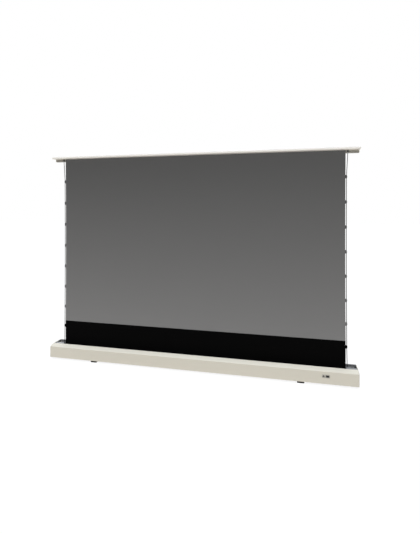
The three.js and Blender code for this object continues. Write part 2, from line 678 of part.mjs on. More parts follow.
// Half-round tabs with a sleeve for the cord, on a root that is welded behind the cloth
function tabPiece(side, root, heights) {
  const solids = [alongY(root, TAB_Y, TAB_Y + TAB_THICK)];
  const bores = [];
  for (const z of heights) {
    const half = new THREE.Shape();
    half.moveTo(edgeAt(z) - TAB_THICK, z - TAB_RADIUS);
    half.absarc(edgeAt(z), z, TAB_RADIUS, -Math.PI / 2, Math.PI / 2, false);
    half.lineTo(edgeAt(z) - TAB_THICK, z + TAB_RADIUS);
    solids.push(alongY(half, TAB_Y, TAB_Y + TAB_THICK));
    const x = edgeAt(z) + CORD_OFFSET;
    const reach = TAB_RADIUS * SLEEVE_SHARE;
    const sleeve = new THREE.CylinderGeometry(SLEEVE_RADIUS, SLEEVE_RADIUS, 2 * reach, SMALL_STEPS);
    const bore = new THREE.CylinderGeometry(SLEEVE_BORE, SLEEVE_BORE, 2 * TAB_RADIUS, SMALL_STEPS);
    solids.push(sleeve.rotateX(Math.PI / 2).translate(x, CLOTH_Y, z));
    bores.push(bore.rotateX(Math.PI / 2).translate(x, CLOTH_Y, z));
  }
  const piece = cut(join(...solids), ...bores);
  return side > 0 ? piece : mirrored(piece);
}

// A closed geometry reflected in the plane x = 0, with its faces turned back outwards
function mirrored(geometry) {
  const copy = geometry.clone().scale(-1, 1, 1);
  const index = copy.index.array;
  for (let i = 0; i < index.length; i += 3) {
    [index[i + 1], index[i + 2]] = [index[i + 2], index[i + 1]];
  }
  return copy;
}

const TAB_HEIGHTS = TAB_HEIGHT_SHARES.map((share) => SEAM_Z + share * SCREEN_HEIGHT);
const LEADER_TAB_Z = SEAM_Z - LEADER_TAB_SHARE * LEADER_RISE;

function tabStrip(side) {
  const outer = edgePoints(SEAM_Z + GAP, BAR_Z - GAP, 0);
  const inner = edgePoints(SEAM_Z + GAP, BAR_Z - GAP, TAB_BAND).reverse();
  return tabPiece(side, polygon([...outer, ...inner]), TAB_HEIGHTS);
}

function leaderTab(side) {
  const x = edgeAt(LEADER_TAB_Z);
  const root = roundedBox(
    x - LEADER_TAB_SEAT,
    x,
    LEADER_TAB_Z - TAB_RADIUS,
    LEADER_TAB_Z + TAB_RADIUS,
    TAB_THICK / 2,
  );
  return tabPiece(side, root, [LEADER_TAB_Z]);
}

// A cord through level sections, so that it stays straight inside each sleeve
function cordThrough(points) {
  const positions = [];
  const index = [];
  const ring = (step) => step * CORD_STEPS;
  for (const [x, y, z] of points) {
    for (let k = 0; k < CORD_STEPS; k++) {
      const angle = (2 * Math.PI * k) / CORD_STEPS;
      positions.push(x + CORD_RADIUS * Math.cos(angle), y + CORD_RADIUS * Math.sin(angle), z);
    }
  }
  for (let step = 0; step + 1 < points.length; step++) {
    for (let k = 0; k < CORD_STEPS; k++) {
      const next = (k + 1) % CORD_STEPS;
      const a = ring(step) + k;
      const b = ring(step) + next;
      const c = ring(step + 1) + k;
      const d = ring(step + 1) + next;
      index.push(a, b, d, a, d, c);
    }
  }
  for (let k = 1; k + 1 < CORD_STEPS; k++) {
    const last = ring(points.length - 1);
    index.push(0, k + 1, k, last, last + k, last + k + 1);
  }
  const geometry = new THREE.BufferGeometry();
  geometry.setAttribute("position", new THREE.Float32BufferAttribute(positions, 3));
  geometry.setIndex(index);
  return geometry;
}

const ANCHOR_Z = LID_Z - GAP - ANCHOR_HEIGHT;
const ANCHOR_Y = CLOTH_BACK_Y - ANCHOR_DEPTH;
const CORD_TOP_Y = ANCHOR_Y + ANCHOR_DEPTH / 2;

function tensionCord(side) {
  const spoolY = ROLLER_Y + SPOOL_FLOOR + GAP + CORD_RADIUS;
  const points = [[side * SPOOL_X, spoolY, ROLLER_Z]];
  for (const z of [LEADER_TAB_Z, ...[...TAB_HEIGHTS].reverse()]) {
    const x = side * (edgeAt(z) + CORD_OFFSET);
    points.push([x, CLOTH_Y, z - TAB_RADIUS], [x, CLOTH_Y, z + TAB_RADIUS]);
  }
  points.push([side * ANCHOR_X, CORD_TOP_Y, ANCHOR_Z - GAP]);
  return cordThrough(points);
}

place("screen_surface", screenSurface(), "surface");
place("black_leader", blackLeader(), "leader");
for (const [name, side] of SIDES) {
  place(name + "_tab_strip", tabStrip(side), "surface");
  place(name + "_leader_tab", leaderTab(side), "leader");
  place(name + "_tension_cord", tensionCord(side), "cord");
}

// Lid: hollow plate, bar with the cloth's spline, caps, cord anchors and the arms' lugs
const lid = new THREE.Group();
part.add(lid);
const LID_FRONT_Y = LIP_Y + LID_OVER_LIP;
const LID_CAP_X = LID_LENGTH / 2 - LID_CAP_THICK;
const BAR_BACK_Y = BAR_FRONT_Y + BAR_DEPTH;
const HEM_Y = BAR_FRONT_Y + HEM_SETBACK;
const HEM_Z = BAR_Z + BAR_HEIGHT / 2;

function lidPlate() {
  const outline = roundedBox(LID_FRONT_Y, BACK_Y, LID_Z, LID_Z + LID_THICK, LID_CORNER);
  const depth = BACK_Y - LID_FRONT_Y;
  const cell = (depth - LID_WALL * (LID_CELLS + 1)) / LID_CELLS;
  const low = LID_Z + LID_WALL;
  const high = LID_Z + LID_THICK - LID_WALL;
  for (let k = 0; k < LID_CELLS; k++) {
    const y = LID_FRONT_Y + LID_WALL + k * (cell + LID_WALL);
    outline.holes.push(roundedBox(y, y + cell, low, high, LID_CORNER - LID_WALL));
  }
  return alongX(outline, -LID_CAP_X + GAP, LID_CAP_X - GAP);
}

function lidBar() {
  const outline = polygon([
    [BAR_FRONT_Y, BAR_Z],
    [BAR_BACK_Y, BAR_Z],
    [BAR_BACK_Y, LID_Z - GAP],
    [BAR_FRONT_Y, LID_Z - GAP],
  ]);
  const end = LID_CAP_X - BAR_CAP_THICK - GAP;
  const over = end + OVERRUN;
  const cellY = HEM_Y + HEM_RADIUS + GAP + BAR_WALL;
  const cell = box(-over, over, cellY, BAR_BACK_Y - BAR_WALL, BAR_Z + BAR_WALL, LID_Z - GAP - BAR_WALL);
  const groove = rodX(HEM_Y, HEM_Z, HEM_RADIUS + GAP, -over, over, SMALL_STEPS);
  const slit = box(-over, over, BAR_FRONT_Y - OVERRUN, HEM_Y, HEM_Z - HEM_SLIT / 2, HEM_Z + HEM_SLIT / 2);
  return cut(alongX(outline, -end, end), cell, groove, slit);
}

function hemSpline() {
  const web = box(-HALF_SCREEN, HALF_SCREEN, BAR_FRONT_Y, HEM_Y, HEM_Z - HEM_WEB / 2, HEM_Z + HEM_WEB / 2);
  return join(rodX(HEM_Y, HEM_Z, HEM_RADIUS, -HALF_SCREEN, HALF_SCREEN, SMALL_STEPS), web);
}

function lidCap(side) {
  const outline = roundedBox(LID_FRONT_Y, BACK_Y, LID_Z, LID_Z + LID_THICK, LID_CORNER);
  const plate = sideAlongX(side, outline, LID_CAP_X, LID_LENGTH / 2);
  const outer = LID_CAP_X + BITE;
  const under = LID_Z - GAP;
  const bar = sideBox(side, LID_CAP_X - BAR_CAP_THICK, outer, BAR_FRONT_Y, BAR_BACK_Y, BAR_Z, under);
  const link = sideBox(side, LID_CAP_X, outer, BAR_FRONT_Y, BAR_BACK_Y, under - BITE, LID_Z + BITE);
  return join(plate, bar, link);
}

function cordAnchor(side) {
  const half = ANCHOR_WIDTH / 2;
  const x = side * ANCHOR_X;
  return box(x - half, x + half, ANCHOR_Y, CLOTH_BACK_Y, ANCHOR_Z, ANCHOR_Z + ANCHOR_HEIGHT);
}

// A lug below the bar, with its pressed-in pin through the upper arm's end
function lidLug(side) {
  const x = side * ARM_PIVOT_X;
  const half = LUG_FLANGE_LENGTH / 2;
  const flangeTop = BAR_Z - GAP;
  const flangeY = BAR_FRONT_Y + LUG_FLANGE_SETBACK;
  const lugY = UPPER_ARM_Y + ARM_THICK + GAP;
  const flangeZ = flangeTop - LUG_FLANGE_THICK;
  const flange = box(x - half, x + half, flangeY, flangeY + LUG_FLANGE_DEPTH, flangeZ, flangeTop);
  const tongue = new THREE.Shape();
  tongue.absarc(x, TOP_PIVOT_Z, LUG_RADIUS, Math.PI, 2 * Math.PI, false);
  tongue.lineTo(x + LUG_RADIUS, flangeZ + BITE);
  tongue.lineTo(x - LUG_RADIUS, flangeZ + BITE);
  const headY = UPPER_ARM_Y - GAP - PIN_HEAD_THICK;
  return join(
    flange,
    alongY(tongue, lugY, lugY + LUG_THICK),
    rodY(x, TOP_PIVOT_Z, PIN_HEAD_RADIUS, headY, UPPER_ARM_Y - GAP),
    rodY(x, TOP_PIVOT_Z, PIN_RADIUS, headY, lugY + LUG_THICK + BITE),
  );
}

place("lid_plate", lidPlate(), "lid", lid);
place("lid_bar", lidBar(), "bar", lid);
place("hem_spline", hemSpline(), "plastic", lid);
for (const [name, side] of SIDES) {
  place(name + "_lid_cap", lidCap(side), "lid", lid);
  place(name + "_cord_anchor", cordAnchor(side), "dark", lid);
  place(name + "_lid_lug", lidLug(side), "steel", lid);
}

// Lifting arms: each is a channel, drawn along +X from its lower pivot with its front face at y = 0
function arm(upperHole) {
  const blank = alongY(stadium(ARM_LENGTH, ARM_RADIUS), 0, ARM_THICK);
  const pocketLength = ARM_LENGTH - 4 * ARM_RADIUS;
  const pocket = alongY(stadium(pocketLength, ARM_RADIUS - ARM_RIM), ARM_WEB, ARM_THICK + OVERRUN);
  pocket.translate(2 * ARM_RADIUS, 0, 0);
  const holes = [
    rodY(0, 0, PIN_RADIUS + PIN_GAP, -OVERRUN, ARM_THICK + OVERRUN),
    rodY(ARM_LENGTH, 0, upperHole, -OVERRUN, ARM_THICK + OVERRUN),
  ];
  return cut(blank, pocket, ...holes);
}

// The arm's base: a lug on a foot plate, with its pressed-in pin
function armBase(side) {
  const x = side * ARM_PIVOT_X;
  const half = BASE_PLATE_LENGTH / 2;
  const lugBack = LOWER_ARM_Y - GAP;
  const floor = INSIDE_Z + GAP;
  const plate = box(x - half, x + half, lugBack - BASE_PLATE_DEPTH, lugBack, floor, floor + BASE_PLATE_THICK);
  const tongue = new THREE.Shape();
  tongue.absarc(x, BASE_PIVOT_Z, BASE_LUG_RADIUS, 0, Math.PI, false);
  tongue.lineTo(x - BASE_LUG_RADIUS, floor + BITE);
  tongue.lineTo(x + BASE_LUG_RADIUS, floor + BITE);
  return join(
    plate,
    alongY(tongue, lugBack - BASE_LUG_THICK, lugBack),
    rodY(x, BASE_PIVOT_Z, PIN_RADIUS, lugBack - BITE, LOWER_ARM_Y + ARM_THICK + PIN_TAIL),
  );
}

// Round the elbow, with the pin's axis at x = 0, z = 0 and y from the upper arm's front face
function elbowPin() {
  const tail = 2 * ARM_THICK + ARM_SPACE + DRUM_DEPTH - DRUM_WALL - GAP;
  return join(
    rodY(0, 0, PIN_HEAD_RADIUS, -GAP - PIN_HEAD_THICK, -GAP),
    rodY(0, 0, PIN_RADIUS, -GAP - PIN_HEAD_THICK, tail),
  );
}

function springDrum() {
  const inner = DRUM_RADIUS - DRUM_WALL;
  const floor = DRUM_DEPTH - DRUM_WALL;
  return new THREE.LatheGeometry(
    [
      [0, floor],
      [inner, floor],
      [inner, 0],
      [DRUM_RADIUS, 0],
      [DRUM_RADIUS, DRUM_DEPTH],
      [0, DRUM_DEPTH],
    ].map(([x, y]) => new THREE.Vector2(x, y)),
    ROUND_STEPS,
  );
}

function spiralSpring() {
  const first = PIN_RADIUS + GAP + SPRING_THICK / 2;
  const last = DRUM_RADIUS - DRUM_WALL - GAP - SPRING_THICK / 2;
  const count = Math.round(SPRING_TURNS * SPRING_STEPS);
  const point = (step, side) => {
    const angle = (2 * Math.PI * SPRING_TURNS * step) / count;
    const radius = first + ((last - first) * step) / count + (side * SPRING_THICK) / 2;
    return [radius * Math.cos(angle), radius * Math.sin(angle)];
  };
  const steps = [...Array(count + 1).keys()];
  const outer = steps.map((step) => point(step, 1));
  const inner = steps.map((step) => point(step, -1)).reverse();
  return alongY(polygon([...outer, ...inner]), 0, SPRING_WIDTH);
}

for (const [name, side] of SIDES) {
  place(name + "_arm_base", armBase(side), "steel");
  const lower = new THREE.Group();
  lower.position.set(side * ARM_PIVOT_X, LOWER_ARM_Y, BASE_PIVOT_Z);
  lower.rotation.y = side < 0 ? -ARM_ANGLE : ARM_ANGLE - Math.PI;
  part.add(lower);
  place(name + "_lower_arm", arm(PIN_RADIUS + PIN_GAP), "aluminium", lower);
  const drum = place(name + "_spring_drum", springDrum(), "plastic", lower);
  drum.position.set(ARM_LENGTH, ARM_THICK + GAP, 0);
  const spring = place(name + "_elbow_spring", spiralSpring(), "steel", lower);
  spring.position.set(ARM_LENGTH, ARM_THICK + 2 * GAP, 0);

  const upper = new THREE.Group();
  upper.position.set(side * ELBOW_X, UPPER_ARM_Y, BASE_PIVOT_Z + ELBOW_RISE);
  upper.rotation.y = side < 0 ? ARM_ANGLE - Math.PI : -ARM_ANGLE;
  part.add(upper);
  const topHole = PIN_RADIUS + (side < 0 ? PIN_GAP : OPEN_PIVOT_GAP);
  place(name + "_upper_arm", arm(topHole), "aluminium", upper);
  place(name + "_elbow_pin", elbowPin(), "steel", upper);
}

// Control window, button, sensor and board at the front
const WINDOW_BACK_Y = FRONT_Y + WINDOW_THICK;
const BOARD_Y = WINDOW_BACK_Y + BOARD_GAP;
const BUTTON_X = WINDOW_X + BUTTON_OFFSET;

// A box on the lens's place, larger all round by grow
function lensBox(grow, y0, y1) {
  const x = WINDOW_X + LENS_OFFSET;
  const half = LENS_WIDTH / 2 + grow;
  const rise = LENS_HEIGHT / 2 + grow;
  return box(x - half, x + half, y0, y1, WINDOW_Z - rise, WINDOW_Z + rise);
}

function controlWindow() {
  const half = WINDOW_POST / 2;
  const z = WINDOW_Z + WINDOW_HEIGHT / 2 - WINDOW_POST_INSET;
  const posts = [-1, 1].map((end) => {
    const x = WINDOW_X + end * (WINDOW_WIDTH / 2 - WINDOW_POST_INSET);
    return box(x - half, x + half, WINDOW_BACK_Y - BITE, BOARD_Y - GAP, z - half, z + half);
  });
  const front = FRONT_Y - OVERRUN;
  const back = WINDOW_BACK_Y + OVERRUN;
  const hole = rodY(BUTTON_X, WINDOW_Z, BUTTON_RADIUS + PIN_GAP, front, back);
  return cut(join(windowBox(-GAP, FRONT_Y, WINDOW_BACK_Y), ...posts), hole, lensBox(GAP, front, back));
}

function controlButton() {
  const collarY = WINDOW_BACK_Y + GAP;
  const stemEnd = BOARD_Y - SWITCH_DEPTH - BUTTON_TRAVEL - GAP;
  return join(
    rodY(BUTTON_X, WINDOW_Z, BUTTON_RADIUS, FRONT_Y + BUTTON_RECESS, collarY + BITE),
    rodY(BUTTON_X, WINDOW_Z, BUTTON_COLLAR_RADIUS, collarY, collarY + BUTTON_COLLAR),
    rodY(BUTTON_X, WINDOW_Z, BUTTON_STEM_RADIUS, collarY, stemEnd),
  );
}

function sensorLens() {
  const rimY = WINDOW_BACK_Y + GAP;
  return join(lensBox(0, FRONT_Y + BUTTON_RECESS, rimY + BITE), lensBox(LENS_STEP, rimY, rimY + LENS_DEPTH));
}

function controlBoard() {
  const half = BOARD_WIDTH / 2;
  const rise = BOARD_HEIGHT / 2;
  const side = SWITCH_SIZE / 2;
  const switchY = BOARD_Y - SWITCH_DEPTH;
  return join(
    box(WINDOW_X - half, WINDOW_X + half, BOARD_Y, BOARD_Y + BOARD_THICK, WINDOW_Z - rise, WINDOW_Z + rise),
    box(BUTTON_X - side, BUTTON_X + side, switchY, BOARD_Y + BITE, WINDOW_Z - side, WINDOW_Z + side),
  );
}

place("control_window", controlWindow(), "plastic");
place("control_button", controlButton(), "dark");
place("sensor_lens", sensorLens(), "lens");
place("control_board", controlBoard(), "board");

// Power supply and mains inlet at the back
function powerSupply() {
  const back = BACK_INNER_Y - SUPPLY_SETBACK;
  const floor = INSIDE_Z + GAP;
  const half = SUPPLY_LENGTH / 2;
  const front = CLOTH_BACK_Y + SUPPLY_TO_CLOTH;
  return box(SUPPLY_X - half, SUPPLY_X + half, front, back, floor, floor + SUPPLY_HEIGHT);
}

function mainsInlet() {
  const back = BACK_INNER_Y - GAP;
  const half = INLET_WIDTH / 2;
  const rise = INLET_HEIGHT / 2;
  const floor = back - SOCKET_DEPTH;
  const body = box(INLET_X - half, INLET_X + half, back - INLET_DEPTH, back, INLET_Z - rise, INLET_Z + rise);
  const blades = [-1, 0, 1].map((place) => {
    const x = INLET_X + place * BLADE_PITCH;
    const width = BLADE_WIDTH / 2;
    const height = BLADE_HEIGHT / 2;
    return box(x - width, x + width, floor - BITE, floor + BLADE_LENGTH, INLET_Z - height, INLET_Z + height);
  });
  return join(cut(body, socketBox(floor, back + OVERRUN)), ...blades);
}

place("power_supply", powerSupply(), "steel");
place("mains_inlet", mainsInlet(), "dark");

export default part;
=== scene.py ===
"""Pull up projection screen, dressed for a studio picture: a low floor case, two folding arms at the back,
and a tensioned grey cloth that hangs between the case and a slim lid. Metres, +Z up, the cloth faces -Y."""

import json
import math

import bmesh
import bpy
from mathutils import Matrix, Vector

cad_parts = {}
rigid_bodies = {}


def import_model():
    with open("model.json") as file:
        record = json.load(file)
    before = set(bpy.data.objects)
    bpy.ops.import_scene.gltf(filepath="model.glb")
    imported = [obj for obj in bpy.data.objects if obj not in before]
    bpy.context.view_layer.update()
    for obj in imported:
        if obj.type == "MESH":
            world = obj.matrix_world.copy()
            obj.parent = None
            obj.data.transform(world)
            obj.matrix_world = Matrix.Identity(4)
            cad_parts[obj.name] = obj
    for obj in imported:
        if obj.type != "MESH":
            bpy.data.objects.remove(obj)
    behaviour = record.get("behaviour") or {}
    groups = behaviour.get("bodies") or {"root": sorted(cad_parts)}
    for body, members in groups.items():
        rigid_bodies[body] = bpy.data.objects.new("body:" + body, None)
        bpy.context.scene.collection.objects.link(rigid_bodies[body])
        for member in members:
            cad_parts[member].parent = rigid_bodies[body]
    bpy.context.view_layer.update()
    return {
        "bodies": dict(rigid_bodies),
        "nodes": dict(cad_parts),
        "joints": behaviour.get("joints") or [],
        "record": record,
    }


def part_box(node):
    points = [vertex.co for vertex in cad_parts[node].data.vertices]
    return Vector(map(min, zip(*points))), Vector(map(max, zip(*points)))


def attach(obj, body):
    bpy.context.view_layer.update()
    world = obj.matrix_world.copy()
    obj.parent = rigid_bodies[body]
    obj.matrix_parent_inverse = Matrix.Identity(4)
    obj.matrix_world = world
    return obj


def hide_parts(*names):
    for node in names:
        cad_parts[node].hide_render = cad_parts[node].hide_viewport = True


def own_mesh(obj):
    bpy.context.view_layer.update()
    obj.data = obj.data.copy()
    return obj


bl_info = {
    "name": "Pull Up Projection Screen",
    "version": (1, 0, 0),
    "blender": (4, 5, 0),
    "location": "View3D > Sidebar > Projection",
    "description": "Makes the pieces and finishes of a floor-rising projection screen on its frame",
    "category": "Object",
}

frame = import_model()
BODY_OF = {node: body for body, nodes in frame["record"]["behaviour"]["bodies"].items() for node in nodes}
PIVOT = {joint["name"]: Vector(joint.get("pos_m", (0, 0, 0))) for joint in frame["joints"]}
SIDES = (("left", -1), ("right", 1))
# The pieces on each body, in the order in which they are made
RIDERS = {}

# Heights of the tabs as shares of the grey surface, and of the leader's tab below the seam
TAB_SHARES = (0.861, 0.729, 0.598, 0.4685, 0.341, 0.215, 0.0915)
LEADER_TAB_SHARE = 0.217
# The floor of the cords' spools, and how far the cord and the leader go round the roller
SPOOL_FLOOR = 0.0342
CORD_TURN = math.radians(285)
LEADER_TURN = math.radians(342.7)
# The grey cloth's lap over the seam, which lets no light through
LAP = 0.0004
# Room between neighbours, the welded bands' thickness, and how far a cutter stands past the face that it cuts
CLEAR = 0.0003
BAND = 0.0008
PAST = 0.002

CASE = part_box("case_front_cover")
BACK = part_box("case_back_cover")
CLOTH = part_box("screen_surface")
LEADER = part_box("black_leader")
ROLLER_AXIS = PIVOT["roller_turn"]
CLOTH_Y = (CLOTH[0].y + CLOTH[1].y) / 2
SEAM_Z = CLOTH[0].z
CLOTH_WIDTH = CLOTH[1].x - CLOTH[0].x
CLOTH_HEIGHT = CLOTH[1].z - CLOTH[0].z
BAND_Y = CLOTH[1].y + CLEAR


def tone(red, green, blue):
    """A colour written as 0 to 255, in the linear light that the finishes work in."""
    shares = [value / 255 for value in (red, green, blue)]
    return tuple(s / 12.92 if s <= 0.04045 else ((s + 0.055) / 1.055) ** 2.4 for s in shares) + (1.0,)


def length(label, words, value):
    return bpy.props.FloatProperty(name=label, description=words, default=value, min=0, unit="LENGTH", precision=4)


def share(label, words, value, most=1.0):
    return bpy.props.FloatProperty(name=label, description=words, default=value, min=0, max=most)


def strength(label, words, value):
    return bpy.props.FloatProperty(name=label, description=words, default=value, min=0)


def colour(label, words, *value):
    return bpy.props.FloatVectorProperty(
        name=label, description=words, default=tone(*value), size=4, min=0, max=1, subtype="COLOR"
    )


class ProjectionSizes(bpy.types.PropertyGroup):
    """Sizes that the frame leaves open."""

    wall: length("Case wall", "Thickness of the extruded covers", 0.0022)
    slope_rise: length("Slope rise", "Height of the slope from the front face to the lip", 0.012)
    slope_crown: length("Slope crown", "How far the slope's control line stands above its chord", 0.003)
    lip_drop: length("Lip drop", "Height of the lip's turned down edge", 0.010)
    face_radius: length("Face radius", "Rounding where the front face meets the slope", 0.0025)
    edge: length("Edge rounding", "Rounding of broken edges on metal", 0.0005)
    cloth: length("Cloth", "Thickness of the projection cloth", 0.0006)
    draw_in: length("Draw in", "How far each side edge is pulled in at mid-height", 0.003)
    seam_tape: length("Seam tape", "Height of the black tape over the seam", 0.008)
    cord_radius: length("Cord radius", "Half the tension cord's thickness", 0.0023)
    cord_offset: length("Cord offset", "Cloth's edge to the cord's middle", 0.0074)
    tab_radius: length("Tab radius", "Radius of the half-round tabs", 0.0125)
    arm_radius: length("Arm radius", "Half the height of an arm", 0.014)
    screw_radius: length("Screw radius", "Radius of the case screws' heads", 0.0032)


class ProjectionColours(bpy.types.PropertyGroup):
    """Colours of the finishes."""

    case: colour("Case", "Powder coat of the covers", 203, 199, 187)
    cap: colour("End cap", "Moulded end caps", 196, 192, 180)
    lid: colour("Lid", "Powder coat of the lid", 232, 230, 225)
    # Partly painted shade: the bar's coat is set darker to stand in for the lid's shadow, which the front lamp leaves
    # off
    bar: colour("Bar", "Powder coat of the bar under the lid", 124, 121, 113)
    recess: colour("Recess", "Plates at the ends of the opening", 102, 104, 107)
    # Painted shade: the lining's grey stands in for the shade inside the back of the opening
    lining: colour("Lining", "Felt inside the back cover", 132, 132, 133)
    # Painted light and shade: the grey cloth's colour is painted paler at the seam and darker under the lid, for how
    # the light falls on it
    surface_low_painted_light: colour("Surface, low", "Grey cloth at the seam", 122, 122, 122)
    surface_high_painted_shade: colour("Surface, high", "Grey cloth under the lid", 78, 78, 78)
    leader: colour("Leader", "Black masking cloth", 4, 4, 4)
    cord: colour("Cord", "Braided tension cord", 34, 34, 34)
    arm: colour("Arms", "Brushed arms", 176, 178, 180)
    zinc: colour("Zinc", "Plated fittings and screws", 150, 152, 152)
    spring: colour("Spring", "Blued elbow springs", 96, 100, 108)
    motor: colour("Motor", "Satin tube and motor", 160, 162, 165)
    dark: colour("Dark plastic", "Spools, plugs and drums", 40, 38, 36)
    window: colour("Window", "Control window", 170, 167, 158)
    button: colour("Button", "Control button", 24, 22, 20)
    lens: colour("Lens", "Sensor lens", 16, 14, 18)
    board: colour("Board", "Solder resist", 30, 90, 58)
    rubber: colour("Rubber", "Feet", 26, 20, 12)
    # Partly painted shade: the dark pads also stand in for the shade in the opening's rear corners
    pad: colour("Pad", "Pads under the closed lid", 58, 61, 63)


class ProjectionStage(bpy.types.PropertyGroup):
    """Camera and light."""

    camera: bpy.props.FloatVectorProperty(
        name="Camera", description="Where the camera stands", default=(0.7594, -2.7521, 1.2149), subtype="TRANSLATION"
    )
    turn: bpy.props.FloatProperty(
        name="Turn", description="Camera's turn to the left", default=math.radians(12.79), subtype="ANGLE"
    )
    lens: bpy.props.FloatProperty(name="Lens", description="Focal length", default=25.153, min=1, unit="CAMERA")
    rise: bpy.props.FloatProperty(name="Rise", description="Vertical lens shift", default=-0.1072)
    sky: share("Sky", "Light from all round", 0.2, 2)
    lamp: strength("Lamp", "Strength of the front lamp", 3.4)
    back: strength("Back", "Strength of the back lamp", 1.3)
    lid: strength("Lid", "Strength of the lid's own lamp", 2.15)
    softness: bpy.props.FloatProperty(
        name="Softness", description="How wide each lamp looks", default=math.radians(38), min=0, subtype="ANGLE"
    )
    floor: share("Floor", "How pale the floor is", 0.7)


class Signal:
    """A socket that takes part in sums, so that a pattern reads as a formula."""

    def __init__(self, net, socket):
        self.net = net
        self.socket = socket

    def __add__(self, other):
        return self.net.math("ADD", self, other)

    __radd__ = __add__

    def __sub__(self, other):
        return self.net.math("SUBTRACT", self, other)

    def __rsub__(self, other):
        return self.net.math("SUBTRACT", other, self)

    def __mul__(self, other):
        return self.net.math("MULTIPLY", self, other)

    __rmul__ = __mul__

    def __truediv__(self, other):
        return self.net.math("DIVIDE", self, other)

    def __pow__(self, other):
        return self.net.math("POWER", self, other)

    def sine(self):
        return self.net.math("SINE", self)

    def above(self, level):
        return self.net.math("GREATER_THAN", self, level)


class Network:
    """A node tree that is written as expressions."""

    def __init__(self, tree):
        self.tree = tree

    def feed(self, socket, value):
        if isinstance(value, Signal):
            self.tree.links.new(value.socket, socket)
        else:
            socket.default_value = value

    def add(self, kind, settings=None, values=None, take=0):
        node = self.tree.nodes.new(kind)
        for name, value in (settings or {}).items():
            setattr(node, name, value)
        for place, value in (values or {}).items():
            self.feed(node.inputs[place], value)
        return Signal(self, node.outputs[take])

    def math(self, operation, *values):
        return self.add("ShaderNodeMath", {"operation": operation}, dict(enumerate(values)))

    def parts(self, vector):
        """The three numbers of a vector."""
        split = self.add("ShaderNodeSeparateXYZ", values={0: vector})
        return [Signal(self, socket) for socket in split.socket.node.outputs]


def chosen(key):
    """One of the colours that the panel lists."""
    return tuple(getattr(bpy.context.scene.projection_colours, key))


class Finish(Network):
    """A material. Its patterns read the piece's own coordinates, or its UV map where they follow the surface."""

    def __init__(self, name, key=None):
        self.material = bpy.data.materials.new(name)
        self.material.use_nodes = True
        super().__init__(self.material.node_tree)
        self.shader = self.tree.nodes["Principled BSDF"]
        self.place = self.add("ShaderNodeTexCoord", take="Object")
        self.base = chosen(key) if key else None

    def made(self, **values):
        """Feeds the shader's sockets, and gives the material."""
        for name, value in values.items():
            self.feed(self.shader.inputs[name.replace("_", " ")], value)
        return self.material

    def mix(self, amount, first, second):
        settings = {"data_type": "RGBA"}
        return self.add("ShaderNodeMix", settings, {0: amount, 6: first, 7: second}, take=2)

    def varied(self, amount, mask):
        """The chosen colour, a little darker or lighter by the mask."""
        dark = tuple(c * (1 - amount) for c in self.base[:3]) + (1.0,)
        light = tuple(min(c * (1 + amount), 1) for c in self.base[:3]) + (1.0,)
        return self.mix(mask, dark, light)

    def noise(self, scale, stretch=(1, 1, 1), detail=2.0, place=None):
        mapping = self.add("ShaderNodeMapping", values={"Vector": place or self.place, "Scale": stretch})
        values = {"Vector": mapping, "Scale": scale, "Detail": detail}
        return self.add("ShaderNodeTexNoise", values=values, take="Fac")

    def bump(self, height, depth, strength):
        return self.add("ShaderNodeBump", values={"Height": height, "Distance": depth, "Strength": strength})

    def surface(self):
        """The two numbers of the piece's UV map."""
        return self.parts(self.add("ShaderNodeUVMap", {"uv_map": "UVMap"}))[:2]


def kept(maker):
    """Makes a finish or a pattern once, however many pieces use it."""
    made = {}

    def find(*values):
        if values not in made:
            made[values] = maker(*values)
        return made[values]

    return find


@kept
def powder_coat(name, key):
    """Satin coat on an extrusion: a fine peel over the die's long lines."""
    finish = Finish(name, key)
    cloud = finish.noise(2.3, (1, 2, 2))
    lines = finish.noise(1.0, (3, 900, 900), 1.0)
    peel = finish.noise(900.0)
    return finish.made(
        Base_Color=finish.varied(0.035, cloud * 0.8 + lines * 0.2),
        Roughness=0.4 + cloud * 0.12,
        Normal=finish.bump(peel * 0.7 + lines * 0.3, 0.00006, 0.5),
        Specular_IOR_Level=0.4,
    )


@kept
def moulding(name, key, grain=1400.0, rough=0.5):
    """Moulded plastic with a fine spark-eroded grain."""
    finish = Finish(name, key)
    speckle = finish.noise(grain, detail=3.0)
    cloud = finish.noise(14.0)
    return finish.made(
        Base_Color=finish.varied(0.06, cloud * 0.6 + speckle * 0.4),
        Roughness=rough + speckle * 0.1,
        Normal=finish.bump(speckle, 0.00008, 0.6),
    )


@kept
def rubber(name, key):
    """Matt rubber, dusty where it was handled."""
    finish = Finish(name, key)
    dust = finish.noise(60.0, detail=4.0)
    pores = finish.noise(1100.0)
    return finish.made(
        Base_Color=finish.varied(0.25, dust),
        Roughness=0.78 + dust * 0.15,
        Normal=finish.bump(pores, 0.0001, 0.6),
        Specular_IOR_Level=0.2,
    )


@kept
def brushed(name, key, along=(4, 700, 700), rough=0.32):
    """Bare metal with the brush's lines along one way."""
    finish = Finish(name, key)
    lines = finish.noise(1.0, along, 3.0)
    cloud = finish.noise(9.0)
    return finish.made(
        Base_Color=finish.varied(0.08, lines * 0.7 + cloud * 0.3),
        Roughness=rough + lines * 0.14,
        Normal=finish.bump(lines, 0.00004, 0.5),
        Metallic=0.9,
    )


@kept
def drawn_arm():
    """Brushed, clear anodised arm: the lines run from pivot to pivot, and a few fine scuffs cross them."""
    finish = Finish("brushed arm", "arm")
    along, across = finish.surface()
    spot = finish.add("ShaderNodeCombineXYZ", values={0: along * 6, 1: across * 1500})
    lines = finish.noise(1.0, (1, 1, 1), 3.0, spot)
    scuffs = finish.noise(1.0, (40, 1.2, 1), 1.0, spot)
    return finish.made(
        Base_Color=finish.varied(0.09, lines * 0.8 + scuffs * 0.2),
        Roughness=0.3 + lines * 0.12 + scuffs * 0.05,
        Normal=finish.bump(lines, 0.00004, 0.5),
        Metallic=0.9,
    )


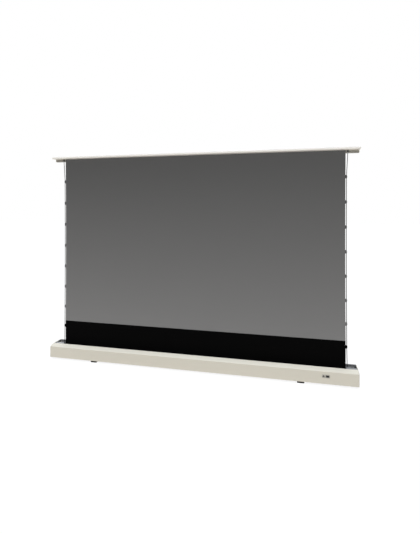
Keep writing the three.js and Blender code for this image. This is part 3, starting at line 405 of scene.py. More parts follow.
@kept
def zinc_plate():
    """Bright zinc: soft spangles with a slightly cloudy passivation."""
    finish = Finish("zinc plate", "zinc")
    cells = finish.add("ShaderNodeTexVoronoi", values={"Vector": finish.place, "Scale": 160.0})
    cloud = finish.noise(40.0, detail=3.0)
    return finish.made(
        Base_Color=finish.varied(0.1, cells * 0.5 + cloud * 0.5),
        Roughness=0.28 + cloud * 0.16,
        Normal=finish.bump(cloud, 0.00004, 0.4),
        Metallic=0.85,
    )


@kept
def grey_cloth_painted_light(name, low, high):
    """Grey cloth: fine level ribs that turn light from above away, and a faint mottle. Its colour is painted light
    and shade, paler towards its foot and darker under the lid, for how the light falls on it.
    """
    finish = Finish(name)
    painted_light_at_seam, painted_shade_at_lid = chosen("surface_low_painted_light"), chosen("surface_high_painted_shade")
    _, up = finish.surface()
    risen = ((up - low) / (high - low)) ** 0.86
    ribs = (up * (2 * math.pi / 0.0007)).sine()
    mottle = finish.noise(2.6, detail=3.0)
    grain = finish.noise(2600.0, detail=1.0)
    # Painted light and shade, graded from pale at the seam to dark under the lid
    painted_light_gradient = finish.mix(risen, painted_light_at_seam, painted_shade_at_lid)
    return finish.made(
        Base_Color=finish.mix(mottle * 0.06 + grain * 0.04, painted_light_gradient, painted_shade_at_lid),
        Roughness=0.62 + grain * 0.12,
        Normal=finish.bump(ribs * 0.5 + grain * 0.5, 0.00003, 0.5),
        Specular_IOR_Level=0.12,
    )


@kept
def black_cloth():
    """Matt black masking cloth in a plain weave."""
    finish = Finish("black masking cloth", "leader")
    across, up = finish.surface()
    threads = 2 * math.pi / 0.0009
    weave = (across * threads).sine() * (up * threads).sine() * 0.5 + 0.5
    lint = finish.noise(30.0, detail=4.0)
    return finish.made(
        Base_Color=finish.varied(0.3, weave * 0.6 + lint * 0.4),
        Roughness=0.88 + lint * 0.1,
        Normal=finish.bump(weave, 0.00006, 0.6),
        Specular_IOR_Level=0.04,
    )


@kept
def braid():
    """Braided cord: strands cross each other on the slant."""
    finish = Finish("tension cord braid", "cord")
    around, along = finish.surface()
    count, lay = 4, 0.006
    turn, climb = around * (2 * math.pi * count), along * (2 * math.pi / lay)
    strands = (turn + climb).sine() * (turn - climb).sine() * 0.5 + 0.5
    fibres = finish.noise(3000.0)
    return finish.made(
        Base_Color=finish.varied(0.35, strands * 0.7 + fibres * 0.3),
        Roughness=0.7 + strands * 0.15,
        Normal=finish.bump(strands, 0.00025, 0.8),
        Specular_IOR_Level=0.25,
    )


@kept
def solder_resist():
    """Green board with paler copper runs under the resist."""
    finish = Finish("solder resist", "board")
    x, _, z = finish.parts(finish.place)
    runs = ((x * 1700).sine() * (z * 2300).sine()).above(0.55)
    return finish.made(
        Base_Color=finish.mix(runs * 0.5, finish.base, tone(86, 140, 92)),
        Roughness=0.35 + runs * 0.15,
        Normal=finish.bump(runs, 0.00003, 0.5),
    )


@kept
def shade_felt():
    """Pressed grey fibres, a lining that stands in for the shade inside the back of the opening: painted shade."""
    finish = Finish("lining felt", "lining")
    fibres = finish.noise(700.0, (1, 1, 2), 4.0)
    cloud = finish.noise(30.0)
    return finish.made(
        Base_Color=finish.varied(0.2, fibres * 0.7 + cloud * 0.3),
        Roughness=0.9 + fibres * 0.08,
        Normal=finish.bump(fibres, 0.0002, 0.7),
        Specular_IOR_Level=0.1,
    )


@kept
def clear_dark():
    """Polished dark plastic that hides the sensor."""
    finish = Finish("sensor lens", "lens")
    depth = finish.noise(90.0)
    return finish.made(Base_Color=finish.varied(0.2, depth), Roughness=0.08 + depth * 0.05, Coat_Weight=0.1)


def dark_plastic():
    return moulding("dark moulding", "dark")


def linked(name, mesh):
    piece = bpy.data.objects.new(name, mesh)
    bpy.context.scene.collection.objects.link(piece)
    return piece


def piece_of(name, points, faces=()):
    mesh = bpy.data.meshes.new(name)
    mesh.from_pydata([tuple(p) for p in points], [], [tuple(f) for f in faces])
    return linked(name, mesh)


def tidied(piece, flat=0.0):
    """Merges doubled corners, joins level faces, and turns every face outwards."""
    work = bmesh.new()
    work.from_mesh(piece.data)
    bmesh.ops.remove_doubles(work, verts=work.verts, dist=1e-6)
    if flat:
        bmesh.ops.dissolve_limit(work, angle_limit=flat, verts=work.verts, edges=work.edges)
    bmesh.ops.recalc_face_normals(work, faces=work.faces)
    work.to_mesh(piece.data)
    work.free()
    return piece


def settled(piece):
    """Works the piece's modifiers into its mesh."""
    graph = bpy.context.evaluated_depsgraph_get()
    mesh = bpy.data.meshes.new_from_object(piece.evaluated_get(graph), preserve_all_data_layers=True, depsgraph=graph)
    piece.modifiers.clear()
    piece.data = mesh
    mesh.name = piece.name
    return piece


def shaded(piece, angle=35):
    """Smooth faces with creases where they meet more sharply than the angle."""
    piece.data.polygons.foreach_set("use_smooth", [True] * len(piece.data.polygons))
    piece.data.set_sharp_from_angle(angle=math.radians(angle))
    return piece


def softened(piece, radius, segments=2, angle=30):
    """Breaks the piece's sharp edges, with flat faces that stay flat to the eye."""
    bevel = piece.modifiers.new("edges", "BEVEL")
    bevel.width = radius
    bevel.segments = segments
    bevel.limit_method = "ANGLE"
    bevel.angle_limit = math.radians(angle)
    bevel.use_clamp_overlap = True
    bevel.miter_outer = "MITER_ARC"
    settled(piece)
    shaded(piece, 50)
    piece.modifiers.new("flats", "WEIGHTED_NORMAL").keep_sharp = True
    return settled(piece)


def combined(operation, piece, others):
    for other in others:
        step = piece.modifiers.new(operation, "BOOLEAN")
        step.operation = operation
        step.solver = "EXACT"
        step.object = other
    settled(piece)
    for other in others:
        bpy.data.objects.remove(other)
    return piece


def carved(piece, *cutters):
    return combined("DIFFERENCE", piece, cutters)


def welded(piece, *others):
    return combined("UNION", piece, others)


def gathered(name, *pieces):
    """One piece of several that lie apart."""
    points, faces, base = [], [], 0
    for piece in pieces:
        points += [v.co.copy() for v in piece.data.vertices]
        faces += [[base + i for i in p.vertices] for p in piece.data.polygons]
        base = len(points)
        bpy.data.objects.remove(piece)
    return piece_of(name, points, faces)


def put(piece, finish, node):
    """Gives the piece its finish, and lets it stand for its node and ride on the node's body."""
    piece.data.materials.clear()
    piece.data.materials.append(finish)
    RIDERS.setdefault(BODY_OF[node], []).append(piece)
    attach(piece, BODY_OF[node])
    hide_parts(node)
    return piece


def middle_of(node):
    low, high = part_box(node)
    return (low + high) / 2


def copy_of(node, name):
    """A fresh copy of a solid of the frame, its loose triangles merged into flat faces."""
    source = frame["nodes"][node].data
    points = [v.co.copy() for v in source.vertices]
    return tidied(piece_of(name, points, [list(p.vertices) for p in source.polygons]), flat=math.radians(0.5))


def dressed(node, name, finish, radius, segments=2, angle=30):
    """A solid of the frame as a piece, with its sharp edges broken."""
    return put(softened(copy_of(node, name), radius, segments, angle), finish, node)


def laid(axis, u, v, w):
    """A point of a drawing, with its extrusion along the axis."""
    return {"x": (w, u, v), "y": (u, w, v), "z": (u, v, w)}[axis]


def prism(name, outline, low, high, axis="x"):
    """A drawing extruded along an axis: (y, z) along x, (x, z) along y or (x, y) along z."""
    count = len(outline)
    points = [laid(axis, u, v, w) for w in (low, high) for u, v in outline]
    sides = [(k, (k + 1) % count, (k + 1) % count + count, k + count) for k in range(count)]
    return tidied(piece_of(name, points, [range(count), range(count, 2 * count), *sides]))


def rounded(corners, steps=6):
    """A closed line through corners (u, v, radius), each rounded by its radius."""
    line = []
    for k, (u, v, radius) in enumerate(corners):
        here = Vector((u, v))
        if radius <= 0:
            line.append((u, v))
            continue
        back = (Vector(corners[k - 1][:2]) - here).normalized()
        on = (Vector(corners[(k + 1) % len(corners)][:2]) - here).normalized()
        half = back.angle(on) / 2
        centre = here + (back + on).normalized() * (radius / math.sin(half))
        reach = radius / math.tan(half)
        first, last = here + back * reach - centre, here + on * reach - centre
        turn = first.angle_signed(last)
        for step in range(steps + 1):
            spoke = first.copy()
            spoke.rotate(Matrix.Rotation(-turn * step / steps, 2))
            line.append(tuple(centre + spoke))
    return line


def rectangle(u0, u1, v0, v1, radius=0.0, steps=6):
    return rounded([(u0, v0, radius), (u1, v0, radius), (u1, v1, radius), (u0, v1, radius)], steps)


def about(u, v, half_u, half_v, radius=0.0):
    """A rectangle by its middle and half its sides."""
    return rectangle(u - half_u, u + half_u, v - half_v, v + half_v, radius)


def arc(u, v, radius, start, sweep, steps):
    angles = [start + sweep * k / steps for k in range(steps + 1)]
    return [(u + radius * math.cos(a), v + radius * math.sin(a)) for a in angles]


def disc(u, v, radius, steps=48, start=0.0):
    return arc(u, v, radius, start, 2 * math.pi, steps)[:-1]


def mirrored(profile):
    """A profile of (radius, height) and its mirror image above it."""
    return profile + [(radius, -height) for radius, height in reversed(profile)]


def hole(outline, front, back):
    """A cutter that goes through a wall facing along y."""
    return prism("hole", outline, front - PAST, back + PAST, "y")


def block(name, low, high, radius=0.0):
    """A block between two corners, with its edges broken."""
    made = prism(name, rectangle(low[0], high[0], low[1], high[1]), low[2], high[2], "z")
    return softened(made, radius) if radius else made


def turned(name, profile, centre, axis, steps, ring=False):
    """A profile of (radius, height) turned round an axis through the centre. A ring's profile closes on itself."""
    points, faces, count = [], [], len(profile)
    for k in range(steps):
        angle = 2 * math.pi * k / steps
        for radius, height in profile:
            u, v = radius * math.cos(angle), radius * math.sin(angle)
            points.append(Vector(laid(axis, u, v, height)) + Vector(centre))
    for k in range(steps):
        on = (k + 1) % steps
        for j in range(count if ring else count - 1):
            up = (j + 1) % count
            faces.append((k * count + j, on * count + j, on * count + up, k * count + up))
    made = tidied(piece_of(name, points, faces))
    return shaded(made, 40)


def tube(name, path, radius):
    """A round cord along a path, whose UV map runs round it once and along it in metres."""
    path, sides = [Vector(p) for p in path], 12
    ways = [(b - a).normalized() for a, b in zip(path, path[1:])]
    ways = [ways[0]] + [(a + b).normalized() for a, b in zip(ways, ways[1:])] + [ways[-1]]
    side = ways[0].orthogonal().normalized()
    points, runs, run = [], [], 0.0
    for k, (point, way) in enumerate(zip(path, ways)):
        side = (side - way * side.dot(way)).normalized()
        other = way.cross(side)
        run += (point - path[k - 1]).length if k else 0
        runs.append(run)
        for s in range(sides):
            angle = 2 * math.pi * s / sides
            points.append(point + side * (radius * math.cos(angle)) + other * (radius * math.sin(angle)))
    faces, corners = [], []
    for k in range(len(path) - 1):
        for s in range(sides):
            on = (s + 1) % sides
            faces.append((k * sides + s, k * sides + on, (k + 1) * sides + on, (k + 1) * sides + s))
            u0, u1 = s / sides, (s + 1) / sides
            corners += [(u0, runs[k]), (u1, runs[k]), (u1, runs[k + 1]), (u0, runs[k + 1])]
    last = (len(path) - 1) * sides
    faces += [tuple(reversed(range(sides))), tuple(range(last, last + sides))]
    corners += [(0.5, 0.0)] * sides + [(0.5, runs[-1])] * sides
    made = piece_of(name, points, faces)
    layer = made.data.uv_layers.new(name="UVMap")
    layer.data.foreach_set("uv", [value for corner in corners for value in corner])
    return shaded(made, 60)


def mapped(piece, origin=(0, 0, 0), along=(1, 0, 0), across=(0, 0, 1)):
    """A UV map in metres, measured from a point along two directions."""
    origin, along, across = Vector(origin), Vector(along), Vector(across)
    layer = piece.data.uv_layers.new(name="UVMap")
    for loop in piece.data.loops:
        spot = piece.data.vertices[loop.vertex_index].co - origin
        layer.data[loop.index].uv = (spot.dot(along), spot.dot(across))
    return piece


class Pattern(Network):
    """A geometry tree with named inputs, whose result becomes a plain mesh."""

    def __init__(self, name, **inputs):
        super().__init__(bpy.data.node_groups.new(name, "GeometryNodeTree"))
        face = self.tree.interface
        face.new_socket("Geometry", in_out="INPUT", socket_type="NodeSocketGeometry")
        self.keys = {}
        for label, kind in {**inputs, "material": "Material"}.items():
            socket = face.new_socket(label.replace("_", " ").title(), in_out="INPUT", socket_type="NodeSocket" + kind)
            self.keys[label] = socket.identifier
        face.new_socket("Geometry", in_out="OUTPUT", socket_type="NodeSocketGeometry")
        entry = self.tree.nodes.new("NodeGroupInput")
        self.base = Signal(self, entry.outputs[0])
        self.given = {label: Signal(self, entry.outputs[k + 1]) for k, label in enumerate(self.keys)}

    def copies(self, points):
        """Ends the tree in a copy of the shape on each point."""
        shape = self.add("GeometryNodeObjectInfo", values={"Object": self.given["shape"]}, take="Geometry")
        return self.close(self.add("GeometryNodeInstanceOnPoints", values={"Points": points, "Instance": shape}))

    def close(self, geometry):
        """Ends the tree in a real mesh that wears the material."""
        whole = self.add("GeometryNodeRealizeInstances", values={0: geometry})
        values = {"Geometry": whole, "Material": self.given["material"]}
        painted = self.add("GeometryNodeSetMaterial", values=values)
        end = self.tree.nodes.new("NodeGroupOutput")
        self.feed(end.inputs[0], painted)
        return self

    def grown(self, name, points=((0, 0, 0),), **values):
        """Runs the tree on some points and keeps the result."""
        carrier = piece_of(name, points)
        step = carrier.modifiers.new(name, "NODES")
        step.node_group = self.tree
        for label, value in values.items():
            step[self.keys[label]] = value
        return settled(carrier)


@kept
def copies_on_points():
    """Puts a copy of one shape on each point."""
    net = Pattern("Copies On Points", shape="Object")
    return net.copies(net.base)


@kept
def row_of_copies():
    """Puts copies of one shape in a straight row."""
    net = Pattern("Row Of Copies", shape="Object", count="Int", start="Vector", step="Vector")
    values = {"Count": net.given["count"], "Start Location": net.given["start"], "Offset": net.given["step"]}
    return net.copies(net.add("GeometryNodeMeshLine", {"mode": "OFFSET"}, values))


@kept
def spiral_strip():
    """A flat strip wound into an open spiral, level in the drawing plane."""
    net = Pattern("Spiral Strip", **dict.fromkeys(("turns", "first", "last", "width", "thickness"), "Float"))
    given = net.given
    values = {"Resolution": 40, "Rotations": given["turns"], "Start Radius": given["first"]}
    values |= {"End Radius": given["last"], "Height": 0.0}
    spiral = net.add("GeometryNodeCurveSpiral", values=values)
    section = net.add(
        "GeometryNodeCurvePrimitiveQuadrilateral", values={"Width": given["thickness"], "Height": given["width"]}
    )
    upright = net.add("GeometryNodeSetCurveNormal", {"mode": "Z_UP"}, {"Curve": spiral})
    values = {"Curve": upright, "Profile Curve": section, "Fill Caps": True}
    return net.close(net.add("GeometryNodeCurveToMesh", values=values))


@kept
def hanging_cloth():
    """A cloth in one plane, whose side edges are drawn in by the cords towards mid-height."""
    lengths = dict.fromkeys(("width", "height", "foot", "plane", "draw_in"), "Float")
    net = Pattern("Hanging Cloth", **lengths, columns="Int", rows="Int")
    given = net.given
    values = {"Size X": given["width"], "Size Y": given["height"]}
    values |= {"Vertices X": given["columns"], "Vertices Y": given["rows"]}
    grid = net.add("GeometryNodeMeshGrid", values=values)
    x, y, _ = net.parts(net.add("GeometryNodeInputPosition"))
    part = y * 2 / given["height"]
    narrow = 1 - (1 - part * part) * given["draw_in"] * 2 / given["width"]
    rise = y + given["height"] / 2
    values = {0: x * narrow, 1: given["plane"], 2: rise + given["foot"]}
    spot = net.add("ShaderNodeCombineXYZ", values=values)
    measure = net.add("ShaderNodeCombineXYZ", values={0: x, 1: rise, 2: 0.0})
    settings = {"data_type": "FLOAT2", "domain": "CORNER"}
    values = {"Geometry": grid, "Name": "UVMap", "Value": measure}
    mapped_grid = net.add("GeometryNodeStoreNamedAttribute", settings, values)
    return net.close(net.add("GeometryNodeSetPosition", values={"Geometry": mapped_grid, "Position": spot}))


def scattered(name, shape, points, finish, node):
    """Copies of a small shape on points, as one piece."""
    made = copies_on_points().grown(name, points, shape=shape, material=finish)
    bpy.data.objects.remove(shape)
    return put(made, finish, node)


def in_row(name, shape, count, middle, step, finish, node):
    """A row of a small shape about its middle, as one piece."""
    start = tuple(m - s * (count - 1) / 2 for m, s in zip(middle, step))
    made = row_of_copies().grown(name, shape=shape, count=count, start=start, step=step, material=finish)
    bpy.data.objects.remove(shape)
    return put(made, finish, node)


def screw_head(axis, way, radius, proud=0.0002, depth=0.0012):
    """A countersunk head with a cross in it, facing along an axis."""
    profile = [(0, proud), (radius * 0.8, proud), (radius, proud * 0.3), (radius * 0.9, -depth), (0, -depth)]
    head = turned("screw", [(r, h * way) for r, h in profile], (0, 0, 0), axis, 20)
    half, arm, deep = radius * 0.14, radius * 0.55, proud - 0.0007
    cross = []
    for u, v in ((arm, half), (half, arm)):
        corners = [(-u, -v), (u, -v), (u, v), (-u, v)]
        cross.append(prism("slot", corners, *sorted((deep * way, (proud + 0.001) * way)), axis))
    return shaded(carved(head, *cross), 30)


class ProjectionStageOperator(bpy.types.Operator):
    """Floor, light and the camera at the photograph's viewing angle"""

    bl_idname = "projection.stage"
    bl_label = "Stage"
    daylight = (0.97, 1.0, 1.04)

    def execute(self, context):
        stage = context.scene.projection_stage
        context.scene.view_settings.view_transform = "Standard"
        self.camera(context, stage)
        self.world(context, stage)
        self.floor(stage)
        front = self.lamp(context, "front lamp", (0.7, -2.06, 4.55), stage.lamp, self.daylight)
        self.lamp(context, "back lamp", (-1.2, 4.0, 1.3), stage.back, (1, 1, 1))
        lid = self.lamp(context, "lid lamp", (0.7, -3.0, 3.4), stage.lid, self.daylight)
        self.spare_lid(front, lid)
        return {"FINISHED"}

    def camera(self, context, stage):
        data = bpy.data.cameras.new("camera")
        data.lens = stage.lens
        data.sensor_width = 36
        data.shift_y = stage.rise
        data.clip_end = 100
        camera = bpy.data.objects.new("camera", data)
        camera.location = stage.camera
        camera.rotation_euler = (math.radians(90), 0, stage.turn)
        context.scene.collection.objects.link(camera)
        context.scene.camera = camera

    def world(self, context, stage):
        """White to the camera, and in gloss and glass. The light itself is set lower."""
        world = bpy.data.worlds.new("studio")
        world.use_nodes = True
        context.scene.world = world
        net = Network(world.node_tree)
        ground = world.node_tree.nodes["Background"]
        ground.inputs["Color"].default_value = (1, 1, 1, 1)
        net.feed(ground.inputs["Strength"], self.seen(net) * (1 - stage.sky) + stage.sky)

    def seen(self, net):
        """1 where the camera looks straight at a surface, or sees it in gloss or through glass."""
        path = net.tree.nodes.new("ShaderNodeLightPath")
        rays = [Signal(net, path.outputs[name]) for name in ("Is Camera Ray", "Is Glossy Ray", "Is Transmission Ray")]
        return net.math("MAXIMUM", net.math("MAXIMUM", rays[0], rays[1]), rays[2])

    def floor(self, stage):
        """Diffuse paint that takes the object's shadow, and close to white where the camera sees it."""
        reach, glow, white = 30, 0.88, (1, 1, 1, 1)
        corners = [(x, y, 0) for x, y in about(0, 0, reach, reach)]
        floor = piece_of("floor", corners, [range(4)])
        finish = Finish("pale floor")
        finish.tree.nodes.remove(finish.shader)
        shade = [stage.floor * warmth for warmth in (1.08, 1.0, 0.9)]
        paint = finish.mix(finish.noise(3.0), (*shade, 1), (*[0.98 * value for value in shade], 1))
        matt = finish.add("ShaderNodeBsdfDiffuse", values={"Color": paint})
        veil = finish.add("ShaderNodeBsdfDiffuse", values={"Color": (1 - glow, 1 - glow, 1 - glow, 1)})
        lift = finish.add("ShaderNodeEmission", values={"Color": white, "Strength": glow})
        pale = finish.add("ShaderNodeAddShader", values={0: veil, 1: lift})
        both = finish.add("ShaderNodeMixShader", values={0: self.seen(finish), 1: matt, 2: pale})
        finish.feed(finish.tree.nodes["Material Output"].inputs["Surface"], both)
        floor.data.materials.append(finish.material)

    def lamp(self, context, name, place, power, light):
        data = bpy.data.lights.new(name, "SUN")
        data.angle = context.scene.projection_stage.softness
        data.energy = power
        data.color = light
        lamp = bpy.data.objects.new(name, data)
        lamp.location = place
        lamp.rotation_euler = (-lamp.location).to_track_quat("-Z", "Y").to_euler()
        context.scene.collection.objects.link(lamp)
        return lamp

    def spare_lid(self, front, own):
        """The front lamp is taken as large enough that the lid throws no shadow of it on the cloth. The pale
        lid has a lamp of its own, lower than the front lamp, so that its top doesn't wash out."""
        pale = [piece for piece in RIDERS["lid"] if piece.name in ("lid_board", "left_lid_end", "right_lid_end")]
        front.light_linking.blocker_collection = self.linking("no shadow of the front lamp", RIDERS["lid"], "EXCLUDE")
        front.light_linking.receiver_collection = self.linking("not lit by the front lamp", pale, "EXCLUDE")
        own.light_linking.receiver_collection = self.linking("lit by the lid lamp", pale, "INCLUDE")

    def linking(self, name, pieces, state):
        """A collection that takes the pieces out of a lamp's light or shadow, or in."""
        made = bpy.data.collections.new(name)
        for piece in pieces:
            made.objects.link(piece)
        for entry in made.collection_objects:
            entry.light_linking.link_state = state
        return made


def slope(sizes, inset=0.0, steps=14):
    """The case's top front, from the upright face to the lip, set in by a wall's thickness."""
    front, lip = CASE[0].y + inset, CASE[1].y - inset
    low = CASE[1].z - sizes.slope_rise - inset / 2
    high = CASE[1].z - inset
    middle = ((front + lip) / 2, (low + high) / 2 + sizes.slope_crown)
    line = []
    for step in range(steps + 1):
        t = step / steps
        a, b, c = (1 - t) ** 2, 2 * t * (1 - t), t * t
        line.append((a * front + b * middle[0] + c * lip, a * low + b * middle[1] + c * high))
    return line


def eased(line, at, radius, steps=5):
    """A line with one of its corners rounded."""
    corners = [(u, v, 0.0) for u, v in line]
    corners[at] = (*line[at], radius)
    return rounded(corners, steps)


class CaseCoversOperator(bpy.types.Operator):
    """Front cover with its curved slope and window seat, and back cover with the inlet's opening"""

    bl_idname = "projection.case_covers"
    bl_label = "Case covers"

    def execute(self, context):
        sizes = context.scene.projection_sizes
        coat = powder_coat("case powder coat", "case")
        front, foot, wall = CASE[0].y, CASE[0].z, sizes.wall
        lip, lip_foot = CASE[1].y, CASE[1].z - sizes.lip_drop
        line = [(front, foot), *slope(sizes), (lip, lip_foot), (lip - wall, lip_foot)]
        line += [*reversed(slope(sizes, wall)), (front + wall, foot)]
        skin = prism("front_cover", eased(line, 1, sizes.face_radius), CASE[0].x, CASE[1].x)
        carved(skin, *self.window_seat(front, wall))
        put(softened(skin, 0.0003, 2, 40), coat, "case_front_cover")
        dressed("case_back_cover", "back_cover", coat, sizes.edge)
        head = screw_head("y", 1, sizes.screw_radius)
        middle, step = (0, BACK[1].y, BACK[0].z + 0.009), (0.23, 0, 0)
        in_row("back_cover_screws", head, 11, middle, step, zinc_plate(), "case_back_cover")
        return {"FINISHED"}

    def window_seat(self, front, wall):
        """Cutters for the shallow seat of the control window, and for the opening behind it."""
        low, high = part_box("control_window")
        x0, x1, z0, z1 = low.x - CLEAR, high.x + CLEAR, low.z - CLEAR, high.z + CLEAR
        rim, depth = 0.0033, 0.0015
        seat = prism("seat", rectangle(x0, x1, z0, z1, 0.0024), front - PAST, front + depth, "y")
        return seat, hole(rectangle(x0 + rim, x1 - rim, z0 + rim, z1 - rim, 0.001), front, front + wall)


class CaseEndsOperator(bpy.types.Operator):
    """End caps with their plugs and screws"""

    bl_idname = "projection.case_ends"
    bl_label = "Case ends"

    def execute(self, context):
        sizes = context.scene.projection_sizes
        plastic = moulding("end cap moulding", "cap")
        back, foot, top = BACK[1].y, CASE[0].z, CASE[1].z
        outline = eased([(CASE[0].y, foot), *slope(sizes)], 1, sizes.face_radius)
        # The third corner only gives the roundings their directions. The lower edge rises 3.6 mm to the back.
        outline += rounded([(back, top, 0.004), (back, foot, 0.0015), (0, top, 0)])[:-1]
        thickness = 0.003
        for name, side in SIDES:
            node = name + "_end_cap"
            low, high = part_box(node)
            outer = high.x if side > 0 else low.x
            inner = outer - side * thickness
            plate = softened(prism(name + "_cap", outline, *sorted((inner, outer))), 0.0009, 3, 40)
            put(welded(plate, block("plug", *self.plug(inner, side), 0.0008)), plastic, node)
            head = screw_head("x", side, sizes.screw_radius)
            spots = [(outer, y, z) for y, z in ((-0.052, 0.032), (0.052, 0.032), (0.052, 0.095))]
            scattered(name + "_cap_screws", head, spots, zinc_plate(), node)
        return {"FINISHED"}

    def plug(self, inner, side):
        """Corners of the block that goes into the case."""
        x0, x1 = sorted((inner - side * 0.006, inner + side * 0.0005))
        return (x0, -0.06, 0.023), (x1, 0.06, 0.085)


class BaseOperator(bpy.types.Operator):
    """Folded base tray and the two ribbed feet"""

    bl_idname = "projection.base"
    bl_label = "Base and feet"

    def execute(self, context):
        sizes = context.scene.projection_sizes
        coat = powder_coat("base powder coat", "case")
        dressed("case_base", "base_tray", coat, sizes.edge)
        head = screw_head("z", -1, sizes.screw_radius)
        middle, step = (0, -0.05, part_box("case_base")[0].z), (0.28, 0, 0)
        in_row("base_screws", head, 9, middle, step, zinc_plate(), "case_base")
        for name, _ in SIDES:
            self.foot(name, rubber("foot rubber", "rubber"))
        return {"FINISHED"}

    def foot(self, name, black):
        """A block that narrows to its sole, with ribs across it."""
        node = name + "_foot"
        low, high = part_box(node)
        sole, cheek, inset = 0.0009, 0.0035, 0.003
        corners = [(low.x + inset, sole), (high.x - inset, sole), (high.x, cheek), (high.x, high.z), (low.x, high.z)]
        corners.append((low.x, cheek))
        outline = rounded([(x, z, 0.0008 if z > cheek else 0.0006) for x, z in corners], 4)
        put(softened(prism(name + "_foot_body", outline, low.y, high.y, "y"), 0.0009, 3, 50), black, node)
        rib = block("rib", (low.x + 0.005, -0.0022, 0), (high.x - 0.005, 0.0022, 0.0015), 0.0005)
        in_row(name + "_foot_ribs", rib, 13, (0, 0, 0), (0, 0.0095, 0), black, node)


class OpeningOperator(bpy.types.Operator):
    """Grey plates and pads at both ends of the opening, and a grey lining and edge strip along its back that are
    painted shade
    """

    bl_idname = "projection.opening"
    bl_label = "Opening"

    def execute(self, context):
        sizes = context.scene.projection_sizes
        grey = powder_coat("recess coat", "recess")
        dark = rubber("pad rubber", "pad")
        face, low, high = BACK[1].y - 0.0022, 0.078, 0.106
        # Painted shade: a grey lining on the back cover and a grey strip over its top edge stand in for the shade
        # inside the opening
        lining = block("back_lining", (BACK[0].x + 0.004, face - 0.0006, low), (BACK[1].x - 0.004, face, high))
        put(lining, shade_felt(), "case_back_cover")
        front, back, top = BACK[1].y - 0.0049, BACK[1].y - 0.0001, BACK[1].z + 0.0005
        wall, foot = 0.00045, BACK[1].z - 0.0066
        fold = [(front, foot), (front, top), (back, top), (back, top - wall), (front + wall, top - wall)]
        strip = prism("back_edge_strip", [*fold, (front + wall, foot)], BACK[0].x + 0.0005, BACK[1].x - 0.0005)
        put(strip, shade_felt(), "case_back_cover")
        for name, _ in SIDES:
            dressed(name + "_recess_plate", name + "_recess_cover", grey, sizes.edge)
            # The pads' dark rubber also stands in for the shade in the rear corners: partly painted shade
            dressed(name + "_lid_pad", name + "_corner_pad", dark, 0.0018, 4)
        return {"FINISHED"}


class RollerOperator(bpy.types.Operator):
    """Roller tube with its turn of leader, the cord spools, and what carries and drives it"""

    bl_idname = "projection.roller"
    bl_label = "Roller"

    def execute(self, context):
        sizes = context.scene.projection_sizes
        dark, satin = dark_plastic(), brushed("satin tube", "motor")
        steel = brushed("bearing steel", "zinc", (60, 60, 60), 0.25)
        for node, name, finish, radius, segments in (
            ("roller_tube", "tube", satin, 0.0002, 1),
            ("leader_spline", "leader_keeper", dark, 0.0003, 2),
            ("tubular_motor", "motor", satin, 0.0006, 2),
            ("drive_crown", "crown", dark, 0.0004, 2),
            ("idler_plug", "end_plug", dark, 0.0004, 2),
            ("idler_bearing", "bearing", steel, 0.0004, 2),
            ("idler_shaft", "shaft", steel, 0.0004, 2),
        ):
            dressed(node, name, finish, radius, segments, 50)
        self.wrap(sizes.cloth / 2)
        for name, _ in SIDES:
            dressed(name + "_roller_bracket", name + "_bracket", zinc_plate(), sizes.edge)
            self.spool(name, sizes, dark)
        return {"FINISHED"}

    def wrap(self, half):
        """The leader's turn on the tube, which starts where the leader comes down to it."""
        low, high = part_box("leader_wrap")
        middle = high.y - ROLLER_AXIS.y - half
        start, steps = -0.0045, 150
        outer, inner = (arc(*ROLLER_AXIS.yz, middle + way * half, start, -LEADER_TURN, steps) for way in (1, -1))
        made = prism("leader_turn", outer + inner[::-1], low.x, high.x)
        mapped(made, across=(0, 0.7, 0.7))
        put(shaded(made, 40), black_cloth(), "leader_wrap")

    def spool(self, name, sizes, dark):
        """A spool with sloping cheeks, and the cord that is left on it."""
        node = name + "_cord_spool"
        low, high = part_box(node)
        centre = Vector((middle_of(node).x, *ROLLER_AXIS.yz))
        bore, rim, end = 0.0327, 0.038, (low.x - high.x) / 2
        profile = [(bore, end + CLEAR), (bore + CLEAR, end), (rim - 0.0006, end), (rim, end + 0.0006)]
        profile += [(rim - 0.0004, end + 0.0014), (SPOOL_FLOOR + 0.0006, end + 0.0029), (SPOOL_FLOOR, end + 0.0034)]
        put(turned(name + "_spool", mirrored(profile), centre, "x", 96, ring=True), dark, node)
        start, shift, steps = -0.02, 0.0006, 60
        turn = arc(*ROLLER_AXIS.yz, wound_reach(sizes), start, -CORD_TURN, steps)
        path = [(centre.x + shift * k / steps, y, z) for k, (y, z) in enumerate(turn)]
        put(tube(name + "_wound_cord", path, sizes.cord_radius), braid(), node)


def wound_reach(sizes):
    """From the roller's axis to the middle of the cord on its spool."""
    return SPOOL_FLOOR + CLEAR + sizes.cord_radius


